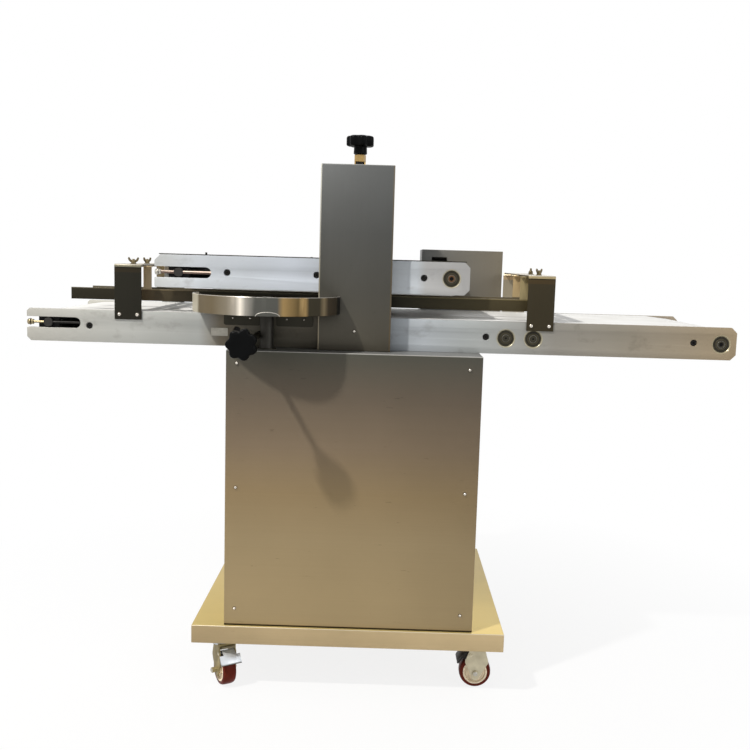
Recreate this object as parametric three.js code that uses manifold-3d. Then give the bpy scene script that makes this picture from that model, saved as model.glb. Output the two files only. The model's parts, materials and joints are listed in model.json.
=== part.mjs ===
// Bun slicing machine: a castered cabinet carries a lower conveyor, a height-adjustable hold-down conveyor
// hung in a portal, and a horizontal disc knife that cuts each bun as it passes between two guide rails.
// Millimetres. X runs along the conveyors from infeed to outfeed, -Y faces the operator, +Z is up.
import * as THREE from "three";
import { mergeVertices } from "three/addons/utils/BufferGeometryUtils.js";
import Module from "manifold-3d";

const wasm = await Module();
wasm.setup();

// Clearances
const fit = 0.3;
const beltSideGap = 6;
const gantryGap = 3.3;
const portalHeadroom = 72;

// Casters
const casterHeight = 113.2;
const casterTrail = 14;
const casterInsetX = 54;
const casterInsetY = 52;
const casterPatternShift = 11;
const frontRightSetback = 21;
const casterPlateLength = 84;
const casterPlateWidth = 72;
const casterPlateThickness = 4;
const racewayRadius = 26;
const racewayHeight = 6;
const crownThickness = 5;
const kingpinRadius = 6;
const kingpinHeadRadius = 9;
const kingpinHeadHeight = 5;
const wheelDiameter = 75;
const wheelWidth = 32;
const hubRadius = 26;
const hubRecess = 5;
const hubBossRadius = 10;
const forkSheet = 3;
const forkSideGap = 1.5;
const forkNeckBack = 9.5;
const forkNeckFront = 30;
const forkNeckDrop = 25;
const forkShoulderBack = 16;
const forkShoulderFront = 38.5;
const forkShoulderDrop = 45;
const forkTipDrop = 18;
const forkTipRadius = 8;
const axleRadius = 4;
const axleHeadRadius = 7;
const axleHeadHeight = 5;
const axleNutHeight = 12;
const pedalPivotTrail = 26;
const pedalPivotDrop = 33;
const pedalPinRadius = 3.5;
const pedalReach = 31;
const pedalDrop = 14;
const pedalSheet = 4;
const pedalWidth = 30;
const pedalTipWidth = 50;
const brakePadReach = 15;
const brakePadDrop = 11;
const frontLeftHeading = -60;
const frontRightHeading = 180;
const rearLeftHeading = 150;
const rearRightHeading = 20;

// Base and cabinet
const baseLength = 720;
const baseRim = 7;
const baseHeight = 42.5;
const baseSheet = 3;
const baseFlange = 110;
const cabinetWidth = 572;
const cabinetHeight = 637.4;
const cabinetSheet = 2;
const cabinetFlange = 22;

// Conveyor side plates, shared by both conveyors
const conveyorWidth = 450;
const plateHeight = 75;
const plateThickness = 12;
const outfeedChamfer = 12;
const counterboreRadius = 8;
const counterboreDepth = 8;
const slotHeight = 25;
const slotSpareTravel = 65;

// Bearings, axles and belts
const bearingOuterRadius = 20;
const bearingWidth = 10;
const bearingRecess = 1.2;
const bearingRingWall = 4;
const bearingShieldDepth = 0.8;
const journalRadius = 8.5;
const tailAxleEndRadius = 10.5;
const slideBlockLength = 48;
const slideBlockRecess = 8;
const beltThickness = 2;
const rollerEndGap = 4;
const bedThickness = 6;
const bedNoseRadius = 5;
const crossBarWidth = 20;

// Lower conveyor, with X measured from the middle of the base
const lowerInfeedReach = 763;
const lowerInfeedTopChamfer = 6;
const lowerInfeedBottomChamfer = 9;
const lowerOutfeedReach = 875;
const lowerAxisHeight = 36;
const lowerTailInset = 49;
const lowerTailHeight = 43.5;
const lowerTailRadius = 25;
const lowerHeadInset = 34.5;
const lowerHeadRadius = 30;
const driveRollerX = 345;
const snubSpacing = 63;
const driveRollerRadius = 24;
const lowerBedTailGap = 75;
const lowerBedHeadGap = 70;
const lowerInfeedBarInset = 145;
const lowerOutfeedBarInset = 98;
const lowerMiddleBarX = -276;
const lowerDriveBarGap = 46;
const lowerBarHeight = 40;

// Upper conveyor
const upperInfeedReach = 467;
const upperInfeedTopChamfer = 13.5;
const upperInfeedBottomChamfer = 2;
const upperOutfeedReach = 257;
const upperClearHeight = 56.5;
const upperTailInset = 55;
const upperTailRadius = 24;
const upperDriveInset = 42;
const upperDriveRadius = 37.2;
const upperAxisHeight = 37.2;
const upperBedTailGap = 82;
const upperBedDriveGap = 45;
const upperInfeedBarInset = 167;
const upperMiddleBarX = -94;
const upperOutfeedBarInset = 105;
const upperBarHeight = 40;
const bridgeThickness = 14;
const bridgeRelief = 7;
const liftNutRadius = 22;
const liftNutHeight = 50;

// Gantry and lift
const gantryCentreX = -4;
const gantryWidth = 165;
const gantryLegDepth = 35.2;
const gantryHeight = 416.5;
const gantrySheet = 3;
const liftScrewY = -135;
const liftTravelDown = 4;
const liftTravelUp = 25;
const liftScrewRadius = 8;
const liftCollarRadius = 14;
const liftCollarHeight = 35;
const liftRetainerHeight = 10;
const liftScrewBeltGap = 3;
const knobTangRadius = 6;
const knobTangLength = 30;
const knobRadius = 33.5;
const knobLobeDepth = 5.5;
const knobLobes = 7;
const knobHeight = 24;
const knobBossRadius = 16;
const knobBossHeight = 18;
const knobEdge = 4;

// Knife, quill and feed
const knifeCentreX = -203;
const knifeStandoff = 32;
const knifeRadius = 152;
const knifeThickness = 3;
const knifeBevel = 12;
const knifeCutHeight = 31;
const knifeTravel = 4;
const knifeFlangeRadius = 30;
const knifeFlangeHeight = 12;
const knifeNutRadius = 14;
const knifeNutHeight = 10;
const spindleRadius = 8;
const quillRadius = 16;
const quillDepthBelowTop = 130;
const bushWall = 6;
const bushDepthBelowTop = 92;
const bushRise = 2;
const bushFlangeRadius = 34;
const bushFlangeHeight = 8;
const motorRadius = 47;
const motorHeight = 180;
const motorNeckRadius = 30;
const motorNeckHeight = 10;
const motorShaftDepth = 60;
const motorPanelGap = 8;
const pinionModule = 1.25;
const pinionTeeth = 12;
const pinionWidth = 14;
const toothBacklash = 0.3;
const toothAddendum = 1;
const toothDedendum = 1.35;
const rackTeethEachSide = 5;
const feedAxisAboveCabinet = 29.3;
const feedShaftRadius = 6;
const feedShaftReach = 262;
const feedSocketDepth = 8;
const guardGap = 11.5;
const guardSheet = 2.5;
const guardLift = 8;
const guardHeight = 40;
const guardTabSheet = 3;
const guardTabDrop = 34;
const guardTabOuterReach = 103;
const guardTabInnerReach = 18;
const knifeSlotHalfHeight = 10;
const knifeSlotMargin = 4;

// Bun lane
const archSheet = 3;
const archWidth = 62;
const archRise = 107;
const archLap = 20;
const archBend = 4;
const infeedArchX = -527.5;
const outfeedArchX = 421.5;
const railSheet = 3;
const railHeight = 27.5;
const railLift = 22;
const railOutfeedX = 440;
const frontRailY = -179;
const frontRailInfeedX = -674;
const frontRailTravelOut = 25;
const frontRailTravelIn = 40;
const rearRailY = -54;
const rearRailInfeedX = -663;
const rearRailTravelOut = 20;
const rearRailTravelIn = 120;
const railNotchMargin = 7;
const railNotchTop = 8;
const hangerWidth = 19;
const hangerOffset = 33;
const hangerTabLength = 20;
const hangerSlotWidth = 7;

// Rear drive box and gearmotors
const driveBoxInfeedX = 163;
const driveBoxOutfeedX = 386;
const driveBoxDepth = 162;
const driveBoxHeight = 240;
const driveBoxSheet = 2;
const driveSlotInfeedReach = 25;
const driveSlotOutfeedReach = 17;
const driveSlotFootroom = 21;
const driveSlotHeadroom = 26;
const gearboxHubLength = 7;
const gearboxDepth = 60;
const driveShaftDepth = 30;
const lowerHubRadius = 18;
const lowerGearboxHalf = 34;
const lowerMotorRadius = 32;
const lowerMotorLength = 115;
const upperHubRadius = 15;
const upperGearboxHalf = 26;
const upperMotorRadius = 28;
const upperMotorLength = 90;

// Heights and faces worked out from the sizes above
const wheelRadius = wheelDiameter / 2;
const baseBottom = casterHeight + fit;
const baseTop = baseBottom + baseHeight;
const cabinetBottom = baseTop + fit;
const cabinetTop = cabinetBottom + cabinetHeight;
const lowerBottom = cabinetTop + fit;
const lowerTop = lowerBottom + plateHeight;
const plateFace = conveyorWidth / 2;
const cabinetDepth = conveyorWidth + 2 * (knifeStandoff + motorRadius + motorPanelGap);
const baseDepth = cabinetDepth + 2 * baseRim;
const plateInner = plateFace - plateThickness;
const beltHalf = plateInner - beltSideGap;
const rollerHalf = plateInner - rollerEndGap;
const upperBottom = lowerTop + upperClearHeight;
const upperTop = upperBottom + plateHeight;
const gantryFace = plateFace + gantryGap + gantryLegDepth;
const gantryLegInner = plateFace + gantryGap;
const gantryBottom = cabinetTop + fit;
const gantryTop = gantryBottom + gantryHeight;
const gantryLeft = gantryCentreX - gantryWidth / 2;
const gantryRight = gantryCentreX + gantryWidth / 2;
const knifeY = -plateFace - knifeStandoff;
const knifeZ = lowerTop + knifeCutHeight;
const quillTop = knifeZ - knifeThickness / 2 - knifeFlangeHeight - 2 * fit;
const quillBottom = cabinetTop - quillDepthBelowTop;
const pinionPitchRadius = (pinionModule * pinionTeeth) / 2;
const rackPitch = Math.PI * pinionModule;
const rackPitchReach = quillRadius - toothDedendum - toothAddendum;
const feedX = knifeCentreX - rackPitchReach - pinionPitchRadius;
const feedZ = cabinetTop + feedAxisAboveCabinet;

// Finishes
const finishes = {
  anodised: { color: 0xb9bec6, roughness: 0.45, metalness: 0.6 },
  stainless: { color: 0x8d8a80, roughness: 0.35, metalness: 0.9 },
  darkStainless: { color: 0x5f5d57, roughness: 0.4, metalness: 0.9 },
  brass: { color: 0xc3b07c, roughness: 0.4, metalness: 0.8 },
  zinc: { color: 0xb8b6aa, roughness: 0.4, metalness: 0.8 },
  steel: { color: 0x77756e, roughness: 0.3, metalness: 0.9 },
  belt: { color: 0xf1f0ea, roughness: 0.7, metalness: 0 },
  black: { color: 0x16171a, roughness: 0.45, metalness: 0 },
  motor: { color: 0x3f4347, roughness: 0.55, metalness: 0.2 },
  tyre: { color: 0x6e1f1c, roughness: 0.4, metalness: 0 },
};

const machine = new THREE.Group();

// Closed solid from a three.js geometry, its faces turned outward
function solidOf(geometry) {
  const loose = geometry.index ? geometry.toNonIndexed() : geometry;
  const bare = new THREE.BufferGeometry();
  bare.setAttribute("position", loose.getAttribute("position"));
  const merged = mergeVertices(bare, 1e-4);
  const corners = merged.index.array;
  const triangles = [];
  for (let i = 0; i < corners.length; i += 3) {
    const [a, b, c] = corners.slice(i, i + 3);
    if (a !== b && b !== c && c !== a) triangles.push(a, b, c);
  }
  const vertProperties = merged.getAttribute("position").array;
  const make = (list) => new wasm.Manifold(
    new wasm.Mesh({ numProp: 3, vertProperties, triVerts: new Uint32Array(list) }),
  );
  const solid = make(triangles);
  return solid.volume() > 0 ? solid : make(triangles.reverse());
}

function join(first, ...others) {
  return others.reduce((whole, other) => whole.add(other), first);
}

function cut(first, ...others) {
  return others.reduce((rest, other) => rest.subtract(other), first);
}

function addPiece(name, solid, finish, parent = machine) {
  const { vertProperties, triVerts } = solid.getMesh();
  const geometry = new THREE.BufferGeometry();
  geometry.setAttribute("position", new THREE.BufferAttribute(new Float32Array(vertProperties), 3));
  geometry.setIndex(new THREE.BufferAttribute(new Uint32Array(triVerts), 1));
  geometry.computeVertexNormals();
  const mesh = new THREE.Mesh(geometry, new THREE.MeshStandardMaterial(finishes[finish]));
  mesh.name = name;
  parent.add(mesh);
}

// Primitive solids
function block(x0, x1, y0, y1, z0, z1) {
  const geometry = new THREE.BoxGeometry(x1 - x0, y1 - y0, z1 - z0);
  return solidOf(geometry.translate((x0 + x1) / 2, (y0 + y1) / 2, (z0 + z1) / 2));
}

function outline(points) {
  return points.map(([u, v]) => new THREE.Vector2(u, v));
}

function extrusion(points, depth, holes) {
  const shape = new THREE.Shape(outline(points));
  shape.holes = holes.map((hole) => new THREE.Path(outline(hole)));
  return new THREE.ExtrudeGeometry(shape, { depth, bevelEnabled: false });
}

// Outline drawn in X and Z, extruded from y0 to y1
function alongY(points, y0, y1, holes = []) {
  return solidOf(extrusion(points, y1 - y0, holes).rotateX(Math.PI / 2).translate(0, y1, 0));
}

// Outline drawn in Y and Z, extruded from x0 to x1
function alongX(points, x0, x1, holes = []) {
  const turn = new THREE.Matrix4().makeBasis(
    new THREE.Vector3(0, 1, 0),
    new THREE.Vector3(0, 0, 1),
    new THREE.Vector3(1, 0, 0),
  );
  return solidOf(extrusion(points, x1 - x0, holes).applyMatrix4(turn).translate(x0, 0, 0));
}

// Outline drawn in X and Y, extruded from z0 to z1
function alongZ(points, z0, z1, holes = []) {
  return solidOf(extrusion(points, z1 - z0, holes).translate(0, 0, z0));
}

// Profile of [radius, height] turned about the Z axis through x, y
function turnedZ(profile, x, y, segments = 16) {
  return solidOf(new THREE.LatheGeometry(outline(profile), segments).rotateX(Math.PI / 2).translate(x, y, 0));
}

// Profile of [radius, depth] turned about the Y axis through x, z
function turnedY(profile, x, z, segments = 16) {
  return solidOf(new THREE.LatheGeometry(outline(profile), segments).translate(x, 0, z));
}

function rodProfile(radius, from, to) {
  return [[0, from], [radius, from], [radius, to], [0, to]];
}

function tubeProfile(inner, outer, from, to) {
  return [[inner, from], [outer, from], [outer, to], [inner, to], [inner, from]];
}

function rodZ(radius, x, y, from, to, segments) {
  return turnedZ(rodProfile(radius, from, to), x, y, segments);
}

function rodY(radius, x, z, from, to, segments) {
  return turnedY(rodProfile(radius, from, to), x, z, segments);
}

function arcPoints(cx, cy, radius, from, to, steps) {
  const points = [];
  for (let i = 0; i <= steps; i += 1) {
    const angle = from + ((to - from) * i) / steps;
    points.push([cx + radius * Math.cos(angle), cy + radius * Math.sin(angle)]);
  }
  return points;
}

function circlePoints(cx, cy, radius, steps = 16) {
  return arcPoints(cx, cy, radius, 0, 2 * Math.PI, steps).slice(0, steps);
}

// Casters: top plate with raceway and kingpin, raked fork with its axle bolt, wheel and brake pedal
function caster(corner, x, y, heading, braked) {
  const seat = new THREE.Group();
  seat.position.set(x, y, 0);
  machine.add(seat);
  const swivel = new THREE.Group();
  swivel.rotation.z = THREE.MathUtils.degToRad(heading);
  seat.add(swivel);

  const plateBottom = casterHeight - casterPlateThickness;
  const racewayBottom = plateBottom - racewayHeight;
  const crownTop = racewayBottom - fit;
  const crownBottom = crownTop - crownThickness;
  const headTop = crownBottom - fit;
  const overlap = 1;
  const halfLength = casterPlateLength / 2;
  const halfWidth = casterPlateWidth / 2;
  const topPlate = join(
    block(-halfLength, halfLength, -halfWidth, halfWidth, plateBottom, casterHeight),
    rodZ(racewayRadius, 0, 0, racewayBottom, plateBottom + overlap),
    rodZ(kingpinRadius, 0, 0, headTop - overlap, racewayBottom + overlap, 12),
    rodZ(kingpinHeadRadius, 0, 0, headTop - kingpinHeadHeight, headTop, 12),
  );
  addPiece(`caster_plate_${corner}`, topPlate, "zinc", seat);

  const cheekInner = wheelWidth / 2 + forkSideGap;
  const cheekOuter = cheekInner + forkSheet;
  const pivotZ = casterHeight - pedalPivotDrop;
  const neckZ = casterHeight - forkNeckDrop;
  const shoulderZ = casterHeight - forkShoulderDrop;
  const tipZ = wheelRadius - forkTipDrop + forkTipRadius;
  const cheekOutline = [
    [-forkNeckBack, crownTop],
    [-forkNeckBack, neckZ],
    [-forkShoulderBack, shoulderZ],
    [-forkShoulderBack, shoulderZ - 6],
    ...arcPoints(casterTrail, tipZ, forkTipRadius, Math.PI * 1.15, Math.PI * 1.85, 4),
    [forkShoulderFront, shoulderZ - 6],
    [forkShoulderFront, shoulderZ],
    [forkNeckFront, neckZ],
    [forkNeckFront, crownTop],
  ];
  const pivotHoles = braked ? [circlePoints(pedalPivotTrail, pivotZ, pedalPinRadius + fit, 8)] : [];
  const cheeks = [[-cheekOuter, -cheekInner], [cheekInner, cheekOuter]].map(
    ([y0, y1]) => alongY(cheekOutline, y0, y1, pivotHoles),
  );
  const crown = block(-forkNeckBack, forkNeckFront, -cheekOuter, cheekOuter, crownBottom, crownTop);
  const axle = rodY(axleRadius, casterTrail, wheelRadius, -cheekOuter + overlap, cheekOuter - overlap, 12);
  const nutReach = cheekOuter + axleNutHeight;
  const headReach = cheekOuter + axleHeadHeight;
  const heads = [[-nutReach, -cheekOuter + overlap], [cheekOuter - overlap, headReach]].map(
    ([y0, y1]) => rodY(axleHeadRadius, casterTrail, wheelRadius, y0, y1, 6),
  );
  const fork = cut(
    join(crown, ...cheeks, axle, ...heads),
    rodZ(kingpinRadius + fit, 0, 0, crownBottom - overlap, crownTop + overlap, 12),
  );
  addPiece(`caster_fork_${corner}`, fork, "zinc", swivel);

  const half = wheelWidth / 2;
  const shoulder = 4;
  const wheelProfile = [
    [axleRadius + fit, -half],
    [hubBossRadius, -half],
    [hubBossRadius + 2, -half + hubRecess],
    [hubRadius - 2, -half + hubRecess],
    [hubRadius, -half],
    [wheelRadius - shoulder, -half],
    [wheelRadius, -half + shoulder],
    [wheelRadius, half - shoulder],
    [wheelRadius - shoulder, half],
    [hubRadius, half],
    [hubRadius - 2, half - hubRecess],
    [hubBossRadius + 2, half - hubRecess],
    [hubBossRadius, half],
    [axleRadius + fit, half],
    [axleRadius + fit, -half],
  ];
  addPiece(`caster_wheel_${corner}`, turnedY(wheelProfile, casterTrail, wheelRadius), "tyre", swivel);

  if (!braked) return;
  const tip = [pedalPivotTrail + pedalReach, pivotZ - pedalDrop];
  const bend = [pedalPivotTrail + brakePadReach + pedalSheet, pivotZ + 2];
  const lip = [[tip[0] + 1, tip[1] - pedalSheet], [tip[0] - 3, tip[1] - pedalSheet]];
  const padX = pedalPivotTrail + brakePadReach;
  const pedalOutline = [
    [pedalPivotTrail - 6, pivotZ + 4],
    [pedalPivotTrail + 4, pivotZ + 9],
    bend,
    tip,
    ...lip,
    [bend[0] - 1, bend[1] - 5],
    [padX + pedalSheet, pivotZ - brakePadDrop + 2],
    [padX, pivotZ - brakePadDrop],
    [pedalPivotTrail + 3, pivotZ - 5],
    [pedalPivotTrail - 6, pivotZ - 4],
  ];
  const treadle = [[bend[0] + 0.5, bend[1] - 0.7], tip, ...lip, [bend[0] + 0.5, bend[1] - 7]];
  const pedal = join(
    alongY(pedalOutline, -pedalWidth / 2, pedalWidth / 2),
    alongY(treadle, -pedalTipWidth / 2, pedalTipWidth / 2),
    rodY(pedalPinRadius, pedalPivotTrail, pivotZ, -cheekOuter, cheekOuter, 8),
  );
  addPiece(`brake_pedal_${corner}`, pedal, "zinc", swivel);
}

const swivelX = baseLength / 2 - casterInsetX;
const swivelY = baseDepth / 2 - casterInsetY;
caster("front_left", casterPatternShift - swivelX, -swivelY, frontLeftHeading, true);
caster("front_right", casterPatternShift + swivelX, frontRightSetback - swivelY, frontRightHeading, true);
caster("rear_left", casterPatternShift - swivelX, swivelY, rearLeftHeading, false);
caster("rear_right", casterPatternShift + swivelX, swivelY, rearRightHeading, false);

// Base: folded tray turned upside down, with a return flange along each end for the casters
function baseTray() {
  const halfX = baseLength / 2;
  const halfY = baseDepth / 2;
  const inX = halfX - baseSheet;
  const inY = halfY - baseSheet;
  const windowX = halfX - baseFlange;
  return cut(
    block(-halfX, halfX, -halfY, halfY, baseBottom, baseTop),
    block(-inX, inX, -inY, inY, baseBottom + baseSheet, baseTop - baseSheet),
    block(-windowX, windowX, -inY, inY, baseBottom - 1, baseBottom + baseSheet + 1),
  );
}
addPiece("base_tray", baseTray(), "brass");

// Cabinet: shell open to the front and bottom, closed by a screwed panel
const cabinetFront = -cabinetDepth / 2;
const bushOuterRadius = quillRadius + fit + bushWall;
function cabinetShell() {
  const halfX = cabinetWidth / 2;
  const front = cabinetFront + cabinetSheet + fit;
  const back = cabinetDepth / 2;
  const windowX = halfX - cabinetFlange;
  return cut(
    block(-halfX, halfX, front, back, cabinetBottom, cabinetTop),
    block(
      -halfX + cabinetSheet, halfX - cabinetSheet, front + cabinetSheet, back - cabinetSheet,
      cabinetBottom - 1, cabinetTop - cabinetSheet,
    ),
    block(
      -windowX, windowX, front - 1, front + cabinetSheet + 1,
      cabinetBottom + cabinetFlange, cabinetTop - cabinetFlange,
    ),
    rodZ(bushOuterRadius + fit, knifeCentreX, knifeY, cabinetTop - cabinetSheet - 1, cabinetTop + 1),
  );
}
addPiece("cabinet_shell", cabinetShell(), "stainless");
addPiece(
  "cabinet_front_panel",
  block(
    -cabinetWidth / 2, cabinetWidth / 2, cabinetFront, cabinetFront + cabinetSheet, cabinetBottom, cabinetTop,
  ),
  "stainless",
);

// Conveyor side plate: chamfered bar with bearing bores, counterbored bar screws and a tension slot that is
// open at the infeed end. side is -1 for the front plate and 1 for the rear one.
function sidePlate(side, left, right, bottom, chamfers, bearings, screws, tail) {
  const top = bottom + plateHeight;
  const { infeedTop, infeedBottom } = chamfers;
  const c = outfeedChamfer;
  const slotRadius = slotHeight / 2;
  const slotEnd = tail.x + slotSpareTravel + tailAxleEndRadius;
  const bar = [
    [left + infeedBottom, bottom], [right - c, bottom], [right, bottom + c], [right, top - c],
    [right - c, top], [left + infeedTop, top], [left, top - infeedTop], [left, tail.z + slotRadius],
    ...arcPoints(slotEnd - slotRadius, tail.z, slotRadius, Math.PI / 2, -Math.PI / 2, 8),
    [left, tail.z - slotRadius], [left, bottom + infeedBottom],
  ];
  const bores = bearings.map(({ x, z }) => circlePoints(x, z, bearingOuterRadius + fit));
  const [y0, y1] = side < 0 ? [-plateFace, -plateInner] : [plateInner, plateFace];
  const counterboreRange = side < 0 ? [y0 - 1, y0 + counterboreDepth] : [y1 - counterboreDepth, y1 + 1];
  const counterbores = screws.map(({ x, z }) => rodY(counterboreRadius, x, z, ...counterboreRange, 12));
  return cut(alongY(bar, y0, y1, bores), ...counterbores);
}

// Deep-groove bearing whose shield lies a little behind its outer ring
function bearing(side, x, z) {
  const inner = journalRadius + fit;
  const ring = bearingOuterRadius - bearingRingWall;
  const outerY = plateFace - bearingRecess;
  const innerY = outerY - bearingWidth;
  const shieldY = outerY - bearingShieldDepth;
  const profile = [
    [inner, innerY], [bearingOuterRadius, innerY], [bearingOuterRadius, outerY],
    [ring, outerY], [ring, shieldY], [inner, shieldY], [inner, innerY],
  ];
  return turnedY(profile.map(([r, y]) => [r, side * y]), x, z);
}

// Roller turned with its journals; backReach is how far the rear journal runs
function roller(radius, x, z, backReach) {
  const frontReach = plateFace - bearingRecess;
  return turnedY([
    [0, -frontReach], [journalRadius, -frontReach], [journalRadius, -rollerHalf], [radius, -rollerHalf],
    [radius, rollerHalf], [journalRadius, rollerHalf], [journalRadius, backReach], [0, backReach],
  ], x, z, 18);
}

function tailRoller(radius, x, z) {
  return turnedY(tubeProfile(journalRadius + fit, radius, -rollerHalf, rollerHalf), x, z, 18);
}

// Tail axle: a through rod whose ends carry slide blocks guided by the plate slots
function tailAxle(x, z) {
  const blockOuter = plateFace - slideBlockRecess;
  const halfLength = slideBlockLength / 2;
  const halfHeight = slotHeight / 2 - fit;
  const blocks = [[-blockOuter, -plateInner], [plateInner, blockOuter]].map(
    ([y0, y1]) => block(x - halfLength, x + halfLength, y0, y1, z - halfHeight, z + halfHeight),
  );
  const ends = [[-plateFace, -plateInner - 1], [plateInner + 1, plateFace]].map(
    ([y0, y1]) => rodY(tailAxleEndRadius, x, z, y0, y1),
  );
  return join(rodY(journalRadius, x, z, -plateInner - 2, plateInner + 2), ...blocks, ...ends);
}

// Belt path round a closed chain of circles, travelling clockwise in X and Z. turn is 1 where the circle lies
// inside the loop and -1 where the belt bends back over it. shift moves the whole path outward.
function beltPath(circles, shift) {
  const count = circles.length;
  const headings = circles.map((from, i) => {
    const to = circles[(i + 1) % count];
    const distance = Math.hypot(to.x - from.x, to.z - from.z);
    const lean = (to.turn * to.r - from.turn * from.r) / distance;
    return Math.atan2(to.z - from.z, to.x - from.x) + Math.asin(lean);
  });
  const arcStep = Math.PI / 20;
  const points = [];
  circles.forEach((circle, i) => {
    const radius = circle.r + circle.turn * shift;
    const start = headings[(i + count - 1) % count] + (circle.turn * Math.PI) / 2;
    let sweep = headings[i] - headings[(i + count - 1) % count];
    while (circle.turn * sweep > 0) sweep -= circle.turn * 2 * Math.PI;
    while (circle.turn * sweep <= -2 * Math.PI) sweep += circle.turn * 2 * Math.PI;
    const steps = Math.max(1, Math.ceil(Math.abs(sweep) / arcStep));
    points.push(...arcPoints(circle.x, circle.z, radius, start, start + sweep, steps));
  });
  return points;
}

function belt(circles) {
  const half = beltThickness / 2;
  const middle = circles.map((circle) => ({ ...circle, r: circle.r + fit + half }));
  return alongY(beltPath(middle, half).reverse(), -beltHalf, beltHalf, [beltPath(middle, -half)]);
}

// Slider bed: flat plate with rounded noses on its belt side, fused to the cross bars that tie the plates.
// up is 1 where the belt runs on its top and -1 where the belt runs under it.
function sliderBed(left, right, face, up, bars, barHeight) {
  const r = bedNoseRadius;
  const back = face - up * bedThickness;
  const nose = up * (Math.PI / 2);
  const profile = [
    [left, back],
    ...arcPoints(left + r, face - up * r, r, up * Math.PI, nose, 5),
    ...arcPoints(right - r, face - up * r, r, nose, 0, 5),
    [right, back],
  ];
  const bedHalf = plateInner - fit;
  const barBack = back - up * barHeight;
  const overlap = 1;
  const crossBars = bars.map((x) => block(
    x - crossBarWidth / 2, x + crossBarWidth / 2, -bedHalf, bedHalf,
    Math.min(barBack, back + up * overlap), Math.max(barBack, back + up * overlap),
  ));
  return join(alongY(profile, -beltHalf, beltHalf), ...crossBars);
}

// Lower conveyor
const lowerLeft = -lowerInfeedReach;
const lowerRight = lowerOutfeedReach;
const lowerAxisZ = lowerBottom + lowerAxisHeight;
const lowerTail = { x: lowerLeft + lowerTailInset, z: lowerBottom + lowerTailHeight };
const lowerHead = { x: lowerRight - lowerHeadInset, z: lowerAxisZ };
const lowerDrive = { x: driveRollerX, z: lowerAxisZ };
const lowerSnub = { x: driveRollerX + snubSpacing, z: lowerAxisZ };
const lowerBedFace = lowerTop - beltThickness - 2 * fit;
const lowerBedLeft = lowerTail.x + lowerBedTailGap;
const lowerBedRight = lowerHead.x - lowerBedHeadGap;
const lowerBars = [
  lowerLeft + lowerInfeedBarInset,
  lowerMiddleBarX,
  driveRollerX - lowerDriveBarGap,
  lowerRight - lowerOutfeedBarInset,
];
const lowerScrews = lowerBars.map((x) => ({ x, z: lowerAxisZ + 2 }));
const lowerBearings = { head: lowerHead, drive: lowerDrive, snub: lowerSnub };
const noseZ = (face, up) => face - up * bedNoseRadius;

for (const [name, side] of [["front", -1], ["rear", 1]]) {
  const chamfers = { infeedTop: lowerInfeedTopChamfer, infeedBottom: lowerInfeedBottomChamfer };
  const plate = sidePlate(
    side, lowerLeft, lowerRight, lowerBottom, chamfers, Object.values(lowerBearings), lowerScrews, lowerTail,
  );
  const socket = rodY(
    feedShaftRadius + fit, feedX, feedZ, -plateFace - 1, -plateFace + feedSocketDepth + fit,
  );
  addPiece(`lower_${name}_plate`, side < 0 ? cut(plate, socket) : plate, "anodised");
  for (const [place, { x, z }] of Object.entries(lowerBearings)) {
    addPiece(`lower_${place}_bearing_${name}`, bearing(side, x, z), "steel");
  }
}
addPiece("lower_slider_bed", sliderBed(
  lowerBedLeft, lowerBedRight, lowerBedFace, 1, lowerBars, lowerBarHeight,
), "stainless");
addPiece("lower_belt", belt([
  { ...lowerTail, r: lowerTailRadius, turn: 1 },
  { x: lowerBedLeft + bedNoseRadius, z: noseZ(lowerBedFace, 1), r: bedNoseRadius, turn: 1 },
  { x: lowerBedRight - bedNoseRadius, z: noseZ(lowerBedFace, 1), r: bedNoseRadius, turn: 1 },
  { ...lowerHead, r: lowerHeadRadius, turn: 1 },
  { ...lowerSnub, r: driveRollerRadius, turn: -1 },
  { ...lowerDrive, r: driveRollerRadius, turn: 1 },
]), "belt");
const gearboxFace = plateFace + fit + gearboxHubLength;
const driveShaftEnd = gearboxFace + driveShaftDepth;
const idleShaftEnd = plateFace - bearingRecess;
addPiece("lower_head_roller", roller(lowerHeadRadius, lowerHead.x, lowerHead.z, idleShaftEnd), "steel");
addPiece("lower_drive_roller", roller(driveRollerRadius, lowerDrive.x, lowerDrive.z, driveShaftEnd), "steel");
addPiece("lower_snub_roller", roller(driveRollerRadius, lowerSnub.x, lowerSnub.z, idleShaftEnd), "steel");
addPiece("lower_tail_axle", tailAxle(lowerTail.x, lowerTail.z), "steel");
addPiece("lower_tail_roller", tailRoller(lowerTailRadius, lowerTail.x, lowerTail.z), "steel");

// Upper hold-down conveyor
const upperLeft = -upperInfeedReach;
const upperRight = upperOutfeedReach;
const upperAxisZ = upperBottom + upperAxisHeight;
const upperTail = { x: upperLeft + upperTailInset, z: upperAxisZ - 2 };
const upperDrive = { x: upperRight - upperDriveInset, z: upperAxisZ };
const upperBedFace = upperAxisZ - upperDriveRadius;
const upperBedLeft = upperTail.x + upperBedTailGap;
const upperBedRight = upperDrive.x - upperBedDriveGap;
const upperBars = [upperLeft + upperInfeedBarInset, upperMiddleBarX, upperRight - upperOutfeedBarInset];
const upperScrews = upperBars.map((x) => ({ x, z: upperAxisZ }));
for (const [name, side] of [["front", -1], ["rear", 1]]) {
  const chamfers = { infeedTop: upperInfeedTopChamfer, infeedBottom: upperInfeedBottomChamfer };
  const plate = sidePlate(
    side, upperLeft, upperRight, upperBottom, chamfers, [upperDrive], upperScrews, upperTail,
  );
  addPiece(`upper_${name}_plate`, plate, "anodised");
  addPiece(`upper_drive_bearing_${name}`, bearing(side, upperDrive.x, upperDrive.z), "steel");
}
addPiece("upper_slider_bed", sliderBed(
  upperBedLeft, upperBedRight, upperBedFace, -1, upperBars, upperBarHeight,
), "stainless");
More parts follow.
